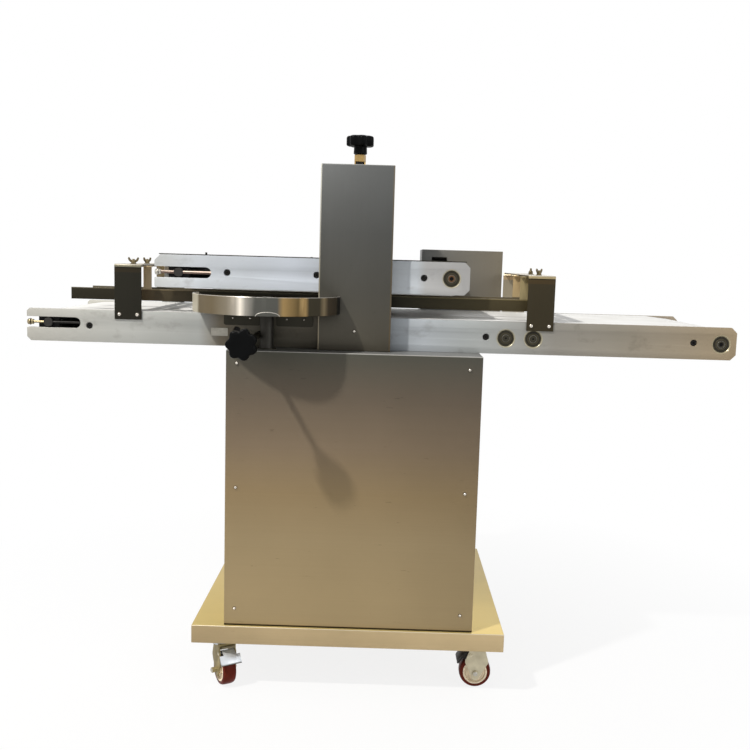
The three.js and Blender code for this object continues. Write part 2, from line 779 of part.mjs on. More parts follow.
addPiece("upper_belt", belt([
  { ...upperTail, r: upperTailRadius, turn: 1 },
  { ...upperDrive, r: upperDriveRadius, turn: 1 },
  { x: upperBedLeft + bedNoseRadius, z: noseZ(upperBedFace, -1), r: bedNoseRadius, turn: 1 },
]), "belt");
addPiece("upper_drive_roller", roller(upperDriveRadius, upperDrive.x, upperDrive.z, driveShaftEnd), "steel");
addPiece("upper_tail_axle", tailAxle(upperTail.x, upperTail.z), "steel");
addPiece("upper_tail_roller", tailRoller(upperTailRadius, upperTail.x, upperTail.z), "steel");

// Lifting bridge: crosshead on the upper plates, guided in the channel legs of the gantry, with the lift nut
const bridgeBottom = upperTop + fit;
const bridgeTop = bridgeBottom + bridgeThickness;
function liftBridge() {
  const end = gantryFace - gantrySheet - fit;
  const half = gantryWidth / 2 - gantrySheet - fit;
  const reliefTop = bridgeBottom + bridgeRelief;
  const arch = [
    [-end, bridgeBottom], [-plateInner + 1, bridgeBottom], [-plateInner + bridgeRelief, reliefTop],
    [plateInner - bridgeRelief, reliefTop], [plateInner - 1, bridgeBottom], [end, bridgeBottom],
    [end, bridgeTop], [-end, bridgeTop],
  ];
  return cut(
    join(
      alongX(arch, gantryCentreX - half, gantryCentreX + half),
      rodZ(liftNutRadius, gantryCentreX, liftScrewY, bridgeTop - 1, bridgeTop + liftNutHeight),
    ),
    rodZ(liftScrewRadius + fit, gantryCentreX, liftScrewY, bridgeBottom - 1, bridgeTop + liftNutHeight + 1),
  );
}
addPiece("lift_bridge", liftBridge(), "anodised");

// Gantry: folded portal whose two legs are channels open towards the conveyors
function gantryCover() {
  const passageTop = upperTop + portalHeadroom;
  const knifeReach = knifeCentreX + knifeRadius + knifeSlotMargin;
  const inner = gantrySheet;
  return cut(
    block(gantryLeft, gantryRight, -gantryFace, gantryFace, gantryBottom, gantryTop),
    block(
      gantryLeft + inner, gantryRight - inner, -gantryFace + inner, gantryFace - inner,
      gantryBottom - 1, gantryTop - inner,
    ),
    block(gantryLeft - 1, gantryRight + 1, -gantryLegInner, gantryLegInner, gantryBottom - 1, passageTop),
    block(
      gantryLeft - 1, knifeReach, -gantryFace - 1, -gantryLegInner + 1,
      knifeZ - knifeSlotHalfHeight, knifeZ + knifeSlotHalfHeight,
    ),
    rodZ(liftScrewRadius + fit, gantryCentreX, liftScrewY, gantryTop - inner - 1, gantryTop + 1),
  );
}
addPiece("gantry_cover", gantryCover(), "darkStainless");

// Lift screw, held in the gantry top between two collars
const collarTop = gantryTop + fit + liftCollarHeight;
function liftScrew() {
  const retainerTop = gantryTop - gantrySheet - fit;
  const bottom = bridgeBottom + liftTravelUp + liftScrewBeltGap;
  return turnedZ([
    [0, bottom], [liftScrewRadius, bottom],
    [liftScrewRadius, retainerTop - liftRetainerHeight], [liftCollarRadius, retainerTop - liftRetainerHeight],
    [liftCollarRadius, retainerTop], [liftScrewRadius, retainerTop],
    [liftScrewRadius, gantryTop + fit], [liftCollarRadius, gantryTop + fit],
    [liftCollarRadius, collarTop], [knobTangRadius, collarTop],
    [knobTangRadius, collarTop + knobTangLength], [0, collarTop + knobTangLength],
  ], gantryCentreX, liftScrewY);
}
addPiece("lift_screw", liftScrew(), "brass");

// Star knob about +Z, its boss starting at z = 0, bored for the tang
function starKnob() {
  const steps = knobLobes * 6;
  const mean = knobRadius - knobEdge - knobLobeDepth / 2;
  const star = [];
  for (let i = 0; i < steps; i += 1) {
    const angle = (2 * Math.PI * i) / steps;
    const radius = mean + (knobLobeDepth / 2) * Math.cos(knobLobes * angle);
    star.push(new THREE.Vector2(radius * Math.cos(angle), radius * Math.sin(angle)));
  }
  const head = new THREE.ExtrudeGeometry(new THREE.Shape(star), {
    depth: knobHeight - 2 * knobEdge,
    bevelThickness: knobEdge,
    bevelSize: knobEdge,
    bevelSegments: 1,
  });
  return cut(
    join(
      solidOf(head.translate(0, 0, knobBossHeight + knobEdge)),
      rodZ(knobBossRadius, 0, 0, 0, knobBossHeight + knobEdge),
    ),
    rodZ(knobTangRadius + fit, 0, 0, -1, knobTangLength + fit, 16),
  );
}
const liftKnobSeat = new THREE.Group();
liftKnobSeat.position.set(gantryCentreX, liftScrewY, collarTop + fit);
machine.add(liftKnobSeat);
addPiece("lift_knob", starKnob(), "black", liftKnobSeat);

// Knife disc with a two-sided bevel, clamped between the spindle's flange and its nut
const discBottom = knifeZ - knifeThickness / 2;
const discTop = knifeZ + knifeThickness / 2;
addPiece("knife_disc", turnedZ([
  [spindleRadius + fit, discBottom], [knifeRadius - knifeBevel, discBottom], [knifeRadius, knifeZ],
  [knifeRadius - knifeBevel, discTop], [spindleRadius + fit, discTop], [spindleRadius + fit, discBottom],
], knifeCentreX, knifeY, 36), "steel");

const motorTop = quillBottom - fit;
function knifeSpindle() {
  const bottom = motorTop - motorShaftDepth + fit;
  const flangeTop = discBottom - fit;
  const nutBottom = discTop + fit;
  return join(
    turnedZ([
      [0, bottom], [spindleRadius, bottom], [spindleRadius, flangeTop - knifeFlangeHeight],
      [knifeFlangeRadius, flangeTop - knifeFlangeHeight], [knifeFlangeRadius, flangeTop],
      [spindleRadius, flangeTop], [spindleRadius, nutBottom + 1], [0, nutBottom + 1],
    ], knifeCentreX, knifeY),
    rodZ(knifeNutRadius, knifeCentreX, knifeY, nutBottom, nutBottom + knifeNutHeight, 6),
  );
}
addPiece("knife_spindle", knifeSpindle(), "steel");

// Quill: sleeve round the spindle with a rack cut into the flat on its feed side
function knifeQuill() {
  const sleeve = turnedZ(
    tubeProfile(spindleRadius + fit, quillRadius, quillBottom, quillTop), knifeCentreX, knifeY,
  );
  const flatReach = rackPitchReach + toothAddendum;
  const rackHalf = (rackTeethEachSide + 0.5) * rackPitch;
  const flat = block(
    knifeCentreX - quillRadius - 1, knifeCentreX - flatReach, knifeY - quillRadius, knifeY + quillRadius,
    feedZ - rackHalf, feedZ + rackHalf,
  );
  const pressure = Math.tan(THREE.MathUtils.degToRad(20));
  const halfGap = rackPitch / 4 + toothBacklash / 2;
  const mouth = halfGap + (toothAddendum + 1) * pressure;
  const root = halfGap - toothDedendum * pressure;
  const gaps = [];
  for (let i = -rackTeethEachSide; i <= rackTeethEachSide; i += 1) {
    const z = feedZ + i * rackPitch;
    const gap = [
      [knifeCentreX - flatReach - 1, z - mouth], [knifeCentreX - rackPitchReach + toothDedendum, z - root],
      [knifeCentreX - rackPitchReach + toothDedendum, z + root], [knifeCentreX - flatReach - 1, z + mouth],
    ];
    gaps.push(alongY(gap, knifeY - quillRadius, knifeY + quillRadius));
  }
  return cut(sleeve, flat, ...gaps);
}
addPiece("knife_quill", knifeQuill(), "steel");

function knifeMotor() {
  const neckBottom = motorTop - motorNeckHeight;
  return cut(
    turnedZ([
      [0, neckBottom - motorHeight], [motorRadius - 6, neckBottom - motorHeight],
      [motorRadius, neckBottom - motorHeight + 6], [motorRadius, neckBottom], [motorNeckRadius, neckBottom],
      [motorNeckRadius, motorTop], [0, motorTop],
    ], knifeCentreX, knifeY),
    rodZ(spindleRadius + fit, knifeCentreX, knifeY, motorTop - motorShaftDepth, motorTop + 1),
  );
}
addPiece("knife_motor", knifeMotor(), "motor");

const bushFlangeTop = cabinetTop - cabinetSheet - fit;
addPiece("quill_bush", turnedZ([
  [quillRadius + fit, cabinetTop - bushDepthBelowTop], [bushOuterRadius, cabinetTop - bushDepthBelowTop],
  [bushOuterRadius, bushFlangeTop - bushFlangeHeight], [bushFlangeRadius, bushFlangeTop - bushFlangeHeight],
  [bushFlangeRadius, bushFlangeTop], [bushOuterRadius, bushFlangeTop],
  [bushOuterRadius, cabinetTop + bushRise], [quillRadius + fit, cabinetTop + bushRise],
  [quillRadius + fit, cabinetTop - bushDepthBelowTop],
], knifeCentreX, knifeY), "steel");

// Guard: bent band and floor pan round the knife, hung on two tabs against the lower front plate
function knifeGuard() {
  const bottom = lowerTop + guardLift;
  const outer = knifeRadius + guardGap + guardSheet;
  const inner = knifeRadius + guardGap;
  const tabBack = -plateFace - fit;
  const panBack = tabBack - 1;
  const gantryStop = -gantryFace - fit;
  const leftAngle = (radius) => -Math.PI - Math.asin((panBack - knifeY) / radius);
  const rightAngle = (radius) => Math.asin((gantryStop - knifeY) / radius);
  const arcSteps = 24;
  const rim = arcPoints(knifeCentreX, knifeY, outer, leftAngle(outer), rightAngle(outer), arcSteps);
  const innerRim = arcPoints(knifeCentreX, knifeY, inner, rightAngle(inner), leftAngle(inner), arcSteps);
  const pan = [
    ...rim,
    [gantryLeft - fit, gantryStop],
    [gantryLeft - fit, panBack],
  ];
  const quillHole = circlePoints(knifeCentreX, knifeY, quillRadius + 2);
  const tabs = [-1, 1].map((side) => {
    const reach = [guardTabInnerReach, guardTabOuterReach].map((r) => knifeCentreX + side * r);
    return block(
      Math.min(...reach), Math.max(...reach), tabBack - guardTabSheet, tabBack,
      bottom - guardTabDrop, bottom + guardSheet,
    );
  });
  return join(
    alongZ([...rim, ...innerRim], bottom, bottom + guardHeight),
    alongZ(pan, bottom, bottom + guardSheet, [quillHole]),
    ...tabs,
  );
}
addPiece("knife_guard", knifeGuard(), "stainless");

// Feed shaft with its pinion in mesh with the quill's rack
function pinionOutline() {
  const pressure = THREE.MathUtils.degToRad(20);
  const involute = (angle) => Math.tan(angle) - angle;
  const baseRadius = pinionPitchRadius * Math.cos(pressure);
  const tipRadius = pinionPitchRadius + toothAddendum;
  const rootRadius = pinionPitchRadius - toothDedendum;
  const halfAtPitch = (rackPitch / 2 - toothBacklash) / 2 / pinionPitchRadius;
  const halfAt = (radius) => {
    const angle = Math.acos(Math.min(1, baseRadius / radius));
    return halfAtPitch + involute(pressure) - involute(angle);
  };
  const flankRadii = [rootRadius, baseRadius, pinionPitchRadius, tipRadius];
  const points = [];
  for (let tooth = 0; tooth < pinionTeeth; tooth += 1) {
    const middle = (2 * Math.PI * tooth) / pinionTeeth;
    const flank = flankRadii.map((radius) => [radius, -halfAt(radius)]);
    const mirrored = flank.map(([radius, angle]) => [radius, -angle]).reverse();
    for (const [radius, angle] of [...flank, ...mirrored]) {
      points.push([feedX + radius * Math.cos(middle + angle), feedZ + radius * Math.sin(middle + angle)]);
    }
  }
  return points;
}
const feedShaftFront = -plateFace - feedShaftReach;
const feedKnobBack = feedShaftFront + knobTangLength;
const feedTangRadius = knobTangRadius - 0.5;
addPiece("feed_shaft", join(
  turnedY([
    [0, -plateFace + feedSocketDepth], [feedShaftRadius, -plateFace + feedSocketDepth],
    [feedShaftRadius, feedKnobBack], [feedTangRadius, feedKnobBack],
    [feedTangRadius, feedShaftFront], [0, feedShaftFront],
  ], feedX, feedZ),
  alongY(pinionOutline(), knifeY - pinionWidth / 2, knifeY + pinionWidth / 2),
), "steel");
const feedKnobSeat = new THREE.Group();
feedKnobSeat.position.set(feedX, feedKnobBack, feedZ);
feedKnobSeat.rotation.x = Math.PI / 2;
machine.add(feedKnobSeat);
addPiece("feed_knob", starKnob(), "black", feedKnobSeat);

// Arches: straps bent over the lower conveyor, slotted for the rail hangers
const archTop = lowerTop + archRise;
const archCeiling = archTop - archSheet;
function arch(x) {
  const out = plateFace + fit + archSheet;
  const inn = plateFace + fit;
  const foot = lowerTop - archLap;
  const r = archBend;
  const strap = [
    [-out, foot],
    [-inn, foot],
    [-inn, archCeiling],
    [inn, archCeiling],
    [inn, foot],
    [out, foot],
    ...arcPoints(out - r, archTop - r, r, 0, Math.PI / 2, 4),
    ...arcPoints(-out + r, archTop - r, r, Math.PI / 2, Math.PI, 4),
  ];
  const slots = [
    [frontRailY - frontRailTravelOut, frontRailY + frontRailTravelIn],
    [rearRailY - rearRailTravelOut, rearRailY + rearRailTravelIn],
  ].map(([y0, y1]) => block(
    x - hangerSlotWidth / 2, x + hangerSlotWidth / 2, y0 - hangerSlotWidth / 2, y1 + hangerSlotWidth / 2,
    archCeiling - 1, archTop + 1,
  ));
  return cut(alongX(strap, x - archWidth / 2, x + archWidth / 2), ...slots);
}
addPiece("infeed_arch", arch(infeedArchX), "darkStainless");
addPiece("outfeed_arch", arch(outfeedArchX), "darkStainless");

// Guide rails: flat strips hung from the arches; the hangers bend inward under each arch
function guideRail(y, infeedX) {
  const bottom = lowerTop + railLift;
  const top = bottom + railHeight;
  const tabTop = archCeiling - fit;
  const half = railSheet / 2;
  const hangers = [[infeedArchX, 1], [outfeedArchX, -1]].map(([archX, inward]) => {
    const middle = archX + inward * hangerOffset;
    const tabEnd = archX - (inward * hangerTabLength) / 2;
    const strapEnd = middle + (inward * hangerWidth) / 2;
    return join(
      block(
        middle - hangerWidth / 2, middle + hangerWidth / 2, y - half, y + half,
        top - railHeight / 2, tabTop,
      ),
      block(
        Math.min(tabEnd, strapEnd), Math.max(tabEnd, strapEnd),
        y - hangerTabLength / 2, y + hangerTabLength / 2, tabTop - railSheet, tabTop,
      ),
    );
  });
  return join(block(infeedX, railOutfeedX, y - half, y + half, bottom, top), ...hangers);
}
function knifeNotch(y) {
  const bottom = lowerTop + railLift;
  const reach = knifeRadius + railNotchMargin;
  return block(
    knifeCentreX - reach, knifeCentreX + reach, y - railSheet, y + railSheet,
    bottom - 1, bottom + railHeight - railNotchTop,
  );
}
addPiece("front_rail", cut(guideRail(frontRailY, frontRailInfeedX), knifeNotch(frontRailY)), "darkStainless");
addPiece("rear_rail", guideRail(rearRailY, rearRailInfeedX), "darkStainless");

// Rear drive box: cover over both gearmotors, slotted so that the upper drive can rise and fall
const driveBoxFront = plateFace + fit;
function driveBox() {
  const back = driveBoxFront + driveBoxDepth;
  const bottom = cabinetTop + fit;
  const top = bottom + driveBoxHeight;
  const s = driveBoxSheet;
  return cut(
    block(driveBoxInfeedX, driveBoxOutfeedX, driveBoxFront, back, bottom, top),
    block(driveBoxInfeedX + s, driveBoxOutfeedX - s, driveBoxFront + s, back - s, bottom - 1, top - s),
    block(
      upperDrive.x - driveSlotInfeedReach, upperDrive.x + driveSlotOutfeedReach,
      driveBoxFront - 1, driveBoxFront + s + 1,
      upperDrive.z - liftTravelDown - driveSlotFootroom, upperDrive.z + liftTravelUp + driveSlotHeadroom,
    ),
    rodY(lowerHubRadius + 2, lowerDrive.x, lowerDrive.z, driveBoxFront - 1, driveBoxFront + s + 1),
  );
}
addPiece("rear_drive_box", driveBox(), "stainless");

// Worm gearmotor on a drive shaft; motorUp is 1 for a motor standing on its gearbox and -1 for one hanging
function gearmotor(axis, hubRadius, half, motorRadiusHere, motorLength, motorUp) {
  const back = gearboxFace + gearboxDepth;
  const motorY = (gearboxFace + back) / 2;
  const motorStart = axis.z + motorUp * (half - 1);
  const motorEnd = axis.z + motorUp * (half + motorLength);
  return cut(
    join(
      block(axis.x - half, axis.x + half, gearboxFace, back, axis.z - half, axis.z + half),
      rodY(hubRadius, axis.x, axis.z, plateFace + fit, gearboxFace + 1),
      rodZ(
        motorRadiusHere, axis.x, motorY, Math.min(motorStart, motorEnd), Math.max(motorStart, motorEnd),
      ),
    ),
    rodY(journalRadius + fit, axis.x, axis.z, plateFace, driveShaftEnd + fit),
  );
}
addPiece("lower_gearmotor", gearmotor(
  lowerDrive, lowerHubRadius, lowerGearboxHalf, lowerMotorRadius, lowerMotorLength, 1,
), "motor");
addPiece("upper_gearmotor", gearmotor(
  upperDrive, upperHubRadius, upperGearboxHalf, upperMotorRadius, upperMotorLength, -1,
), "motor");

// The origin lies on the floor, under the middle of the machine's bounding box
machine.updateMatrixWorld(true);
const bounds = new THREE.Box3().setFromObject(machine, true);
const middle = bounds.getCenter(new THREE.Vector3());
const bunSlicer = new THREE.Group();
machine.position.set(-middle.x, -middle.y, -bounds.min.z);
bunSlicer.add(machine);

export default bunSlicer;
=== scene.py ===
"""Bun slicing machine: finishes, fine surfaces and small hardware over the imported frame."""

import json
import math

import bmesh
import bpy
from mathutils import Matrix, Vector


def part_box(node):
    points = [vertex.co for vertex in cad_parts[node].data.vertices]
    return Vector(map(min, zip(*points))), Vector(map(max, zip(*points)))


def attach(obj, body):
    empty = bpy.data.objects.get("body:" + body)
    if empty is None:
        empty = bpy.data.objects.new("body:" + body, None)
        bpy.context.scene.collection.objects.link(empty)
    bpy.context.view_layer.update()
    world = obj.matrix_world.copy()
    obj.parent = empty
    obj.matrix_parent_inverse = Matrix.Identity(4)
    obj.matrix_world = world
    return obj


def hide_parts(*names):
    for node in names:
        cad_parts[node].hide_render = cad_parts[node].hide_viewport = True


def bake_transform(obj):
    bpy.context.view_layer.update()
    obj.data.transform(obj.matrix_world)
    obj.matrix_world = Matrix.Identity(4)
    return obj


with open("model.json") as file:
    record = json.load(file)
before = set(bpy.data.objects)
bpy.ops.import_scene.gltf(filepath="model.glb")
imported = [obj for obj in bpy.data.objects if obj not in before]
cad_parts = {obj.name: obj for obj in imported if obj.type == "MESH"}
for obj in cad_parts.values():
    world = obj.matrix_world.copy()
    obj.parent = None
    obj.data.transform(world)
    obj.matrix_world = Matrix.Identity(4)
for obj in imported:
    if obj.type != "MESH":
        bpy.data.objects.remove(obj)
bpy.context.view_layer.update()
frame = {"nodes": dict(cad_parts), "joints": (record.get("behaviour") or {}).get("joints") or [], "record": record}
scene = bpy.context.scene
nodes = frame["nodes"]
slot_of_node = {p["node"]: p["material_slot"] for p in frame["record"]["subparts"]}
joint_named = {joint["name"]: joint for joint in frame["joints"]}

MM = 0.001
FRONT = Vector((0, -1, 0))
BACK = Vector((0, 1, 0))
UP = Vector((0, 0, 1))
RIGHT = Vector((1, 0, 0))
SIDES = (("front", FRONT), ("rear", BACK))
CORNER_SIGNS = ((1, 1), (-1, 1), (-1, -1), (1, -1))
LEVEL_BODY = {"lower": "frame", "upper": "upper_conveyor"}


def middle(node):
    low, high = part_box(node)
    return (low + high) / 2


base_middle = middle("base_tray")


def at(x, y, z):
    """A point given in millimetres from the middle of the base, at floor level."""
    return Vector((base_middle.x + x * MM, base_middle.y + y * MM, z * MM))


# Materials


def rgba(colour):
    """A colour with full opacity, where a single number stands for a grey."""
    return (*colour, 1) if isinstance(colour, tuple) else (colour, colour, colour, 1)


class NodeTree:
    """Short calls that add nodes to a tree."""

    def __init__(self, tree):
        self.tree = tree

    def connect(self, value, socket):
        if isinstance(value, bpy.types.NodeSocket):
            self.tree.links.new(value, socket)
        else:
            socket.default_value = value

    def feed(self, node, **inputs):
        """Links or sets inputs of a node by their names, with an underscore for a space."""
        for key, value in inputs.items():
            self.connect(value, node.inputs[key.replace("_", " ")])

    def add(self, kind, **inputs):
        node = self.tree.nodes.new(kind)
        self.feed(node, **inputs)
        return node

    def spread(self, source, low, high, start=0.25, end=0.75):
        """A value between start and end spread between low and high."""
        return self.add(
            "ShaderNodeMapRange", Value=source, From_Min=start, From_Max=end, To_Min=low, To_Max=high,
        ).outputs["Result"]

    def combine(self, operation, first, second):
        node = self.add("ShaderNodeMath")
        node.operation = operation
        self.connect(first, node.inputs[0])
        self.connect(second, node.inputs[1])
        return node.outputs[0]

    def seen_directly(self):
        """1 for camera, glossy and transmission rays, 0 for the rays that light the object."""
        path = self.add("ShaderNodeLightPath").outputs
        mirrored = self.combine("MAXIMUM", path["Is Camera Ray"], path["Is Glossy Ray"])
        return self.combine("MAXIMUM", mirrored, path["Is Transmission Ray"])


class Shader(NodeTree):
    """The node tree of a Principled material."""

    def __init__(self, name):
        self.material = bpy.data.materials.new(name)
        self.material.use_nodes = True
        super().__init__(self.material.node_tree)
        self.surface = self.tree.nodes["Principled BSDF"]
        self.coordinates = self.add("ShaderNodeTexCoord").outputs["Object"]

    def finish(self, **inputs):
        self.feed(self.surface, **inputs)
        return self.material

    def noise(self, scale, detail, stretch=(1, 1, 1), rough=0.55):
        place = self.add("ShaderNodeMapping", Vector=self.coordinates, Scale=stretch).outputs["Vector"]
        noise = self.add("ShaderNodeTexNoise", Vector=place, Scale=scale, Detail=detail, Roughness=rough)
        return noise.outputs["Fac"]

    def ramp(self, source, stops):
        ramp = self.add("ShaderNodeValToRGB", Fac=source)
        elements = ramp.color_ramp.elements
        while len(elements) < len(stops):
            elements.new(0.5)
        for element, (place, colour) in zip(elements, stops):
            element.position = place
            element.color = rgba(colour)
        return ramp.outputs["Color"]

    def part_of(self, vector, axis):
        return self.add("ShaderNodeSeparateXYZ", Vector=vector).outputs[axis]

    def tones(self, axis, stops):
        """Colour that follows stops of (metres along an axis, colour)."""
        low, high = stops[0][0], stops[-1][0]
        place = self.spread(self.part_of(self.coordinates, axis), 0, 1, low, high)
        return self.ramp(place, [((stop - low) / (high - low), colour) for stop, colour in stops])

    def upward(self, start, end):
        """0 on upright faces and 1 on faces that look up."""
        normal = self.add("ShaderNodeNewGeometry").outputs["Normal"]
        return self.spread(self.part_of(normal, "Z"), 0, 1, start, end)

    def mix(self, kind, factor, first, second):
        mix = self.add("ShaderNodeMix")
        mix.data_type = "RGBA"
        mix.blend_type = kind
        for value, i in ((factor, 0), (first, 6), (second, 7)):
            self.connect(rgba(value) if isinstance(value, tuple) else value, mix.inputs[i])
        return mix.outputs[2]

    def shade(self, colour, source, low, high, start=0.3, end=0.7):
        """The colour made darker or lighter by a noise value."""
        return self.mix("MULTIPLY", 1, colour, self.ramp(source, [(start, low), (end, high)]))

    def bump(self, source, strength, distance=0.0004):
        bump = self.add("ShaderNodeBump", Height=source, Strength=strength, Distance=distance)
        return bump.outputs["Normal"]


# Streaks run along an axis: the noise is stretched along it and fine across it
GRAIN = {"X": (1.5, 420, 420), "Z": (420, 420, 1.5)}


def sheet_steel(
    name, stops, axis, grain, top=None,
    roughness=0.4, metallic=0.4, blotch=0.05, across=(), level=(0.35, 0.75),
):
    """Brushed sheet with tones along an axis, faint grain, stains and short scratches.

    Its tones are mostly painted light, shade and reflection; top is a painted lit tone for faces that look up,
    from level on. across holds (axis, stops) of further factors.
    """
    s = Shader(name)
    tone = s.tones(axis, stops)
    for other_axis, factors in across:
        tone = s.mix("MULTIPLY", 1, tone, s.tones(other_axis, factors))
    if top:
        tone = s.mix("MIX", s.upward(*level), tone, top)
    streak = s.noise(1, 3, GRAIN[grain])
    cloud = s.noise(3.4, 5)
    scratch = s.noise(34, 3, (0.6, 1, 2.6), 0.7)
    tone = s.shade(tone, streak, 0.985, 1.012)
    tone = s.shade(tone, cloud, (1 - blotch, 1 - blotch, 1 - 1.2 * blotch), 1 + blotch)
    return s.finish(
        Base_Color=s.shade(tone, scratch, 0.8, 1.0, 0.26, 0.31), Normal=s.bump(streak, 0.02),
        Roughness=s.spread(cloud, roughness - 0.05, roughness + 0.07),
        Metallic=metallic, Specular_IOR_Level=0.15,
    )


def plain_metal(name, colour, roughness, metallic=0.8, cloud_scale=40):
    """Turned, plated or ground metal with slight stains."""
    s = Shader(name)
    cloud = s.noise(cloud_scale, 5)
    return s.finish(
        Base_Color=s.shade(colour, cloud, (0.82, 0.81, 0.79), 1.1),
        Roughness=s.spread(cloud, roughness + 0.1, roughness - 0.06),
        Metallic=metallic, Specular_IOR_Level=0.2,
    )


def plastic(name, colour, roughness, gloss):
    """Moulded plastic, rubber or paint with a fine grain."""
    s = Shader(name)
    cloud = s.noise(30, 4)
    return s.finish(
        Base_Color=s.shade(colour, cloud, 0.86, 1.1), Normal=s.bump(s.noise(900, 3), 0.05, 0.0002),
        Roughness=s.spread(cloud, roughness + 0.06, roughness - 0.05), Specular_IOR_Level=gloss,
    )


def scuffed_plate(name, stops, upright=None):
    """Anodised bar: faint grain along X, cloudy handling marks, smudges and short dark scuffs."""
    s = Shader(name)
    grain = s.noise(1, 3, GRAIN["X"])
    cloud = s.noise(7, 5)
    smudge = s.noise(15, 4, (1, 1, 1.5), 0.6)
    scuff = s.noise(42, 6, (1, 1, 2.2), 0.7)
    tone = s.tones("X", stops)
    if upright:
        tone = s.mix("MULTIPLY", 1, tone, s.tones("Z", upright))
    tone = s.shade(tone, grain, 0.99, 1.008)
    tone = s.shade(tone, cloud, (0.94, 0.94, 0.93), 1.04)
    tone = s.shade(tone, smudge, (0.84, 0.83, 0.82), 1.0, 0.3, 0.4)
    return s.finish(
        Base_Color=s.shade(tone, scuff, (0.7, 0.68, 0.64), 1.0, 0.27, 0.33), Normal=s.bump(grain, 0.015),
        Roughness=s.spread(cloud, 0.42, 0.55), Metallic=0.3, Specular_IOR_Level=0.2,
    )


def belt_cloth(name):
    """White coated belt: fine matt weave under a thin coat, a little flour and wear."""
    s = Shader(name)
    cloud = s.noise(9, 5)
    return s.finish(
        Base_Color=s.ramp(cloud, [(0.3, (0.68, 0.675, 0.65)), (0.65, (0.77, 0.77, 0.76))]),
        Normal=s.bump(s.noise(1500, 2), 0.12, 0.0003), Roughness=s.spread(cloud, 0.62, 0.5),
        Specular_IOR_Level=0.25,
    )


def lit_top_zinc(name, top, side):
    """Zinc plating with a painted highlight on faces that look up and painted shade on its sides."""
    s = Shader(name)
    cloud = s.noise(60, 4)
    tone = s.mix("MIX", s.upward(0.15, 0.45), side, top)
    return s.finish(
        Base_Color=s.shade(tone, cloud, 0.86, 1.08), Roughness=s.spread(cloud, 0.42, 0.28), Metallic=0.6,
    )


# Tones: colours at places in metres, or factors on those colours; most are painted light, shade and reflection

RAIL_HEIGHT, CONVEYOR_WIDTH = 27.5 * MM, 450 * MM
base_low, base_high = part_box("base_tray")
panel_low, panel_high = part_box("cabinet_front_panel")
gantry_low, gantry_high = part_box("gantry_cover")
upper_low, upper_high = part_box("upper_front_plate")
plate_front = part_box("lower_front_plate")[0].y
plate_back = plate_front + CONVEYOR_WIDTH
rail_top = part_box("front_rail")[0].z + RAIL_HEIGHT
arch_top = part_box("infeed_arch")[1].z
rod_axis = middle("upper_tail_axle").z


def beside(edge, *stops):
    """Tones whose places are metres from an edge."""
    return [(edge + place, colour) for place, colour in stops]


# Painted reflection and shade on the cabinet: darkest at the top, lighter towards the bottom, and darker towards
# the right
CABINET_TONES = [
    (0.16, (0.35, 0.266, 0.144)), (0.23, (0.345, 0.262, 0.142)), (0.36, (0.315, 0.24, 0.134)),
    (0.47, (0.26, 0.19, 0.102)), (0.58, (0.19, 0.143, 0.094)), (0.69, (0.126, 0.1, 0.073)),
    (0.79, (0.076, 0.074, 0.06)),
]
CABINET_SIDEWAYS = ("X", [(panel_low.x, 1.02), (0.0, 1.0), (panel_high.x, 0.86)])
# Painted shade in the joint at the foot of the front panel, and a painted highlight along its top fold
JOINT_SHADE, FOLD_HIGHLIGHT = (0.012, 0.01, 0.008), (0.5, 0.49, 0.46)
PANEL_TONES = [
    *beside(panel_low.z, (0, JOINT_SHADE), (0.003, JOINT_SHADE), (0.0036, CABINET_TONES[0][1])),
    *CABINET_TONES[1:-1],
    *beside(panel_high.z, (-0.0024, CABINET_TONES[-1][1]), (-0.0018, FOLD_HIGHLIGHT), (0, FOLD_HIGHLIGHT)),
]
# Painted reflection on the gantry cover: darker in the middle, lighter at its foot and top
GANTRY_TONES = [
    (0.79, (0.092, 0.082, 0.062)), (0.93, (0.074, 0.071, 0.061)), (1.06, (0.077, 0.078, 0.074)),
    (1.21, (0.115, 0.119, 0.119)),
]
# Painted highlight along the cover's left fold and a painted warm reflection along its right edge
GANTRY_GLINT, GANTRY_WARM_REFLECTION = (4.4, 4.2, 3.8), (1.3, 1.1, 0.85)
GANTRY_EDGES = ("X", [
    *beside(gantry_low.x, (0, GANTRY_GLINT), (0.002, GANTRY_GLINT), (0.003, 1.04), (0.09, 1)),
    *beside(gantry_high.x, (-0.004, 0.94), (-0.0025, GANTRY_WARM_REFLECTION), (0, GANTRY_WARM_REFLECTION)),
])
BASE_TONES = [(base_low.x, (0.4, 0.305, 0.175)), (base_high.x, (0.5, 0.385, 0.22))]
BASE_GLINT = (1.3, 1.5, 1.95)
BASE_EDGE = ("Z", [
    (base_low.z, 1), *beside(base_high.z, (-0.0018, 1), (-0.0012, BASE_GLINT), (0, BASE_GLINT)),
])
# Painted shade and light along the front rail: nearly black where the upper conveyor shades it, lighter round the
# infeed hanger and towards the right, with a painted lit top
RAIL_TONES = [
    (-0.74, (0.025, 0.022, 0.014)), (-0.6, (0.026, 0.022, 0.014)), (-0.59, (0.18, 0.135, 0.075)),
    (-0.555, (0.16, 0.12, 0.07)), (-0.53, (0.07, 0.055, 0.033)), (-0.46, (0.05, 0.04, 0.024)),
    (-0.42, (0.022, 0.02, 0.013)), (0.02, (0.018, 0.016, 0.01)), (0.2, (0.045, 0.037, 0.019)),
    (0.4, (0.085, 0.066, 0.032)),
]
RAIL_TOP_TONE = (0.3, 0.27, 0.21)
# Painted light on the front rail's hanger straps above its top
HANGER_TONES = ("Z", beside(
    rail_top, (-0.03, 1), (-0.0025, 1), (-0.002, 3), (0, 3), (0.001, (5, 5.2, 5.6)), (0.06, 4),
))
REAR_RAIL_TONES = [(-0.74, (0.11, 0.095, 0.065)), (0.4, (0.13, 0.105, 0.065))]
# Painted light on the rear rail's hanger straps above its top
REAR_HANGER_TONES = ("Z", beside(
    rail_top, (0, 1), (0.002, (4, 3.7, 3.2)), (0.06, (3.4, 3, 2.4)),
))
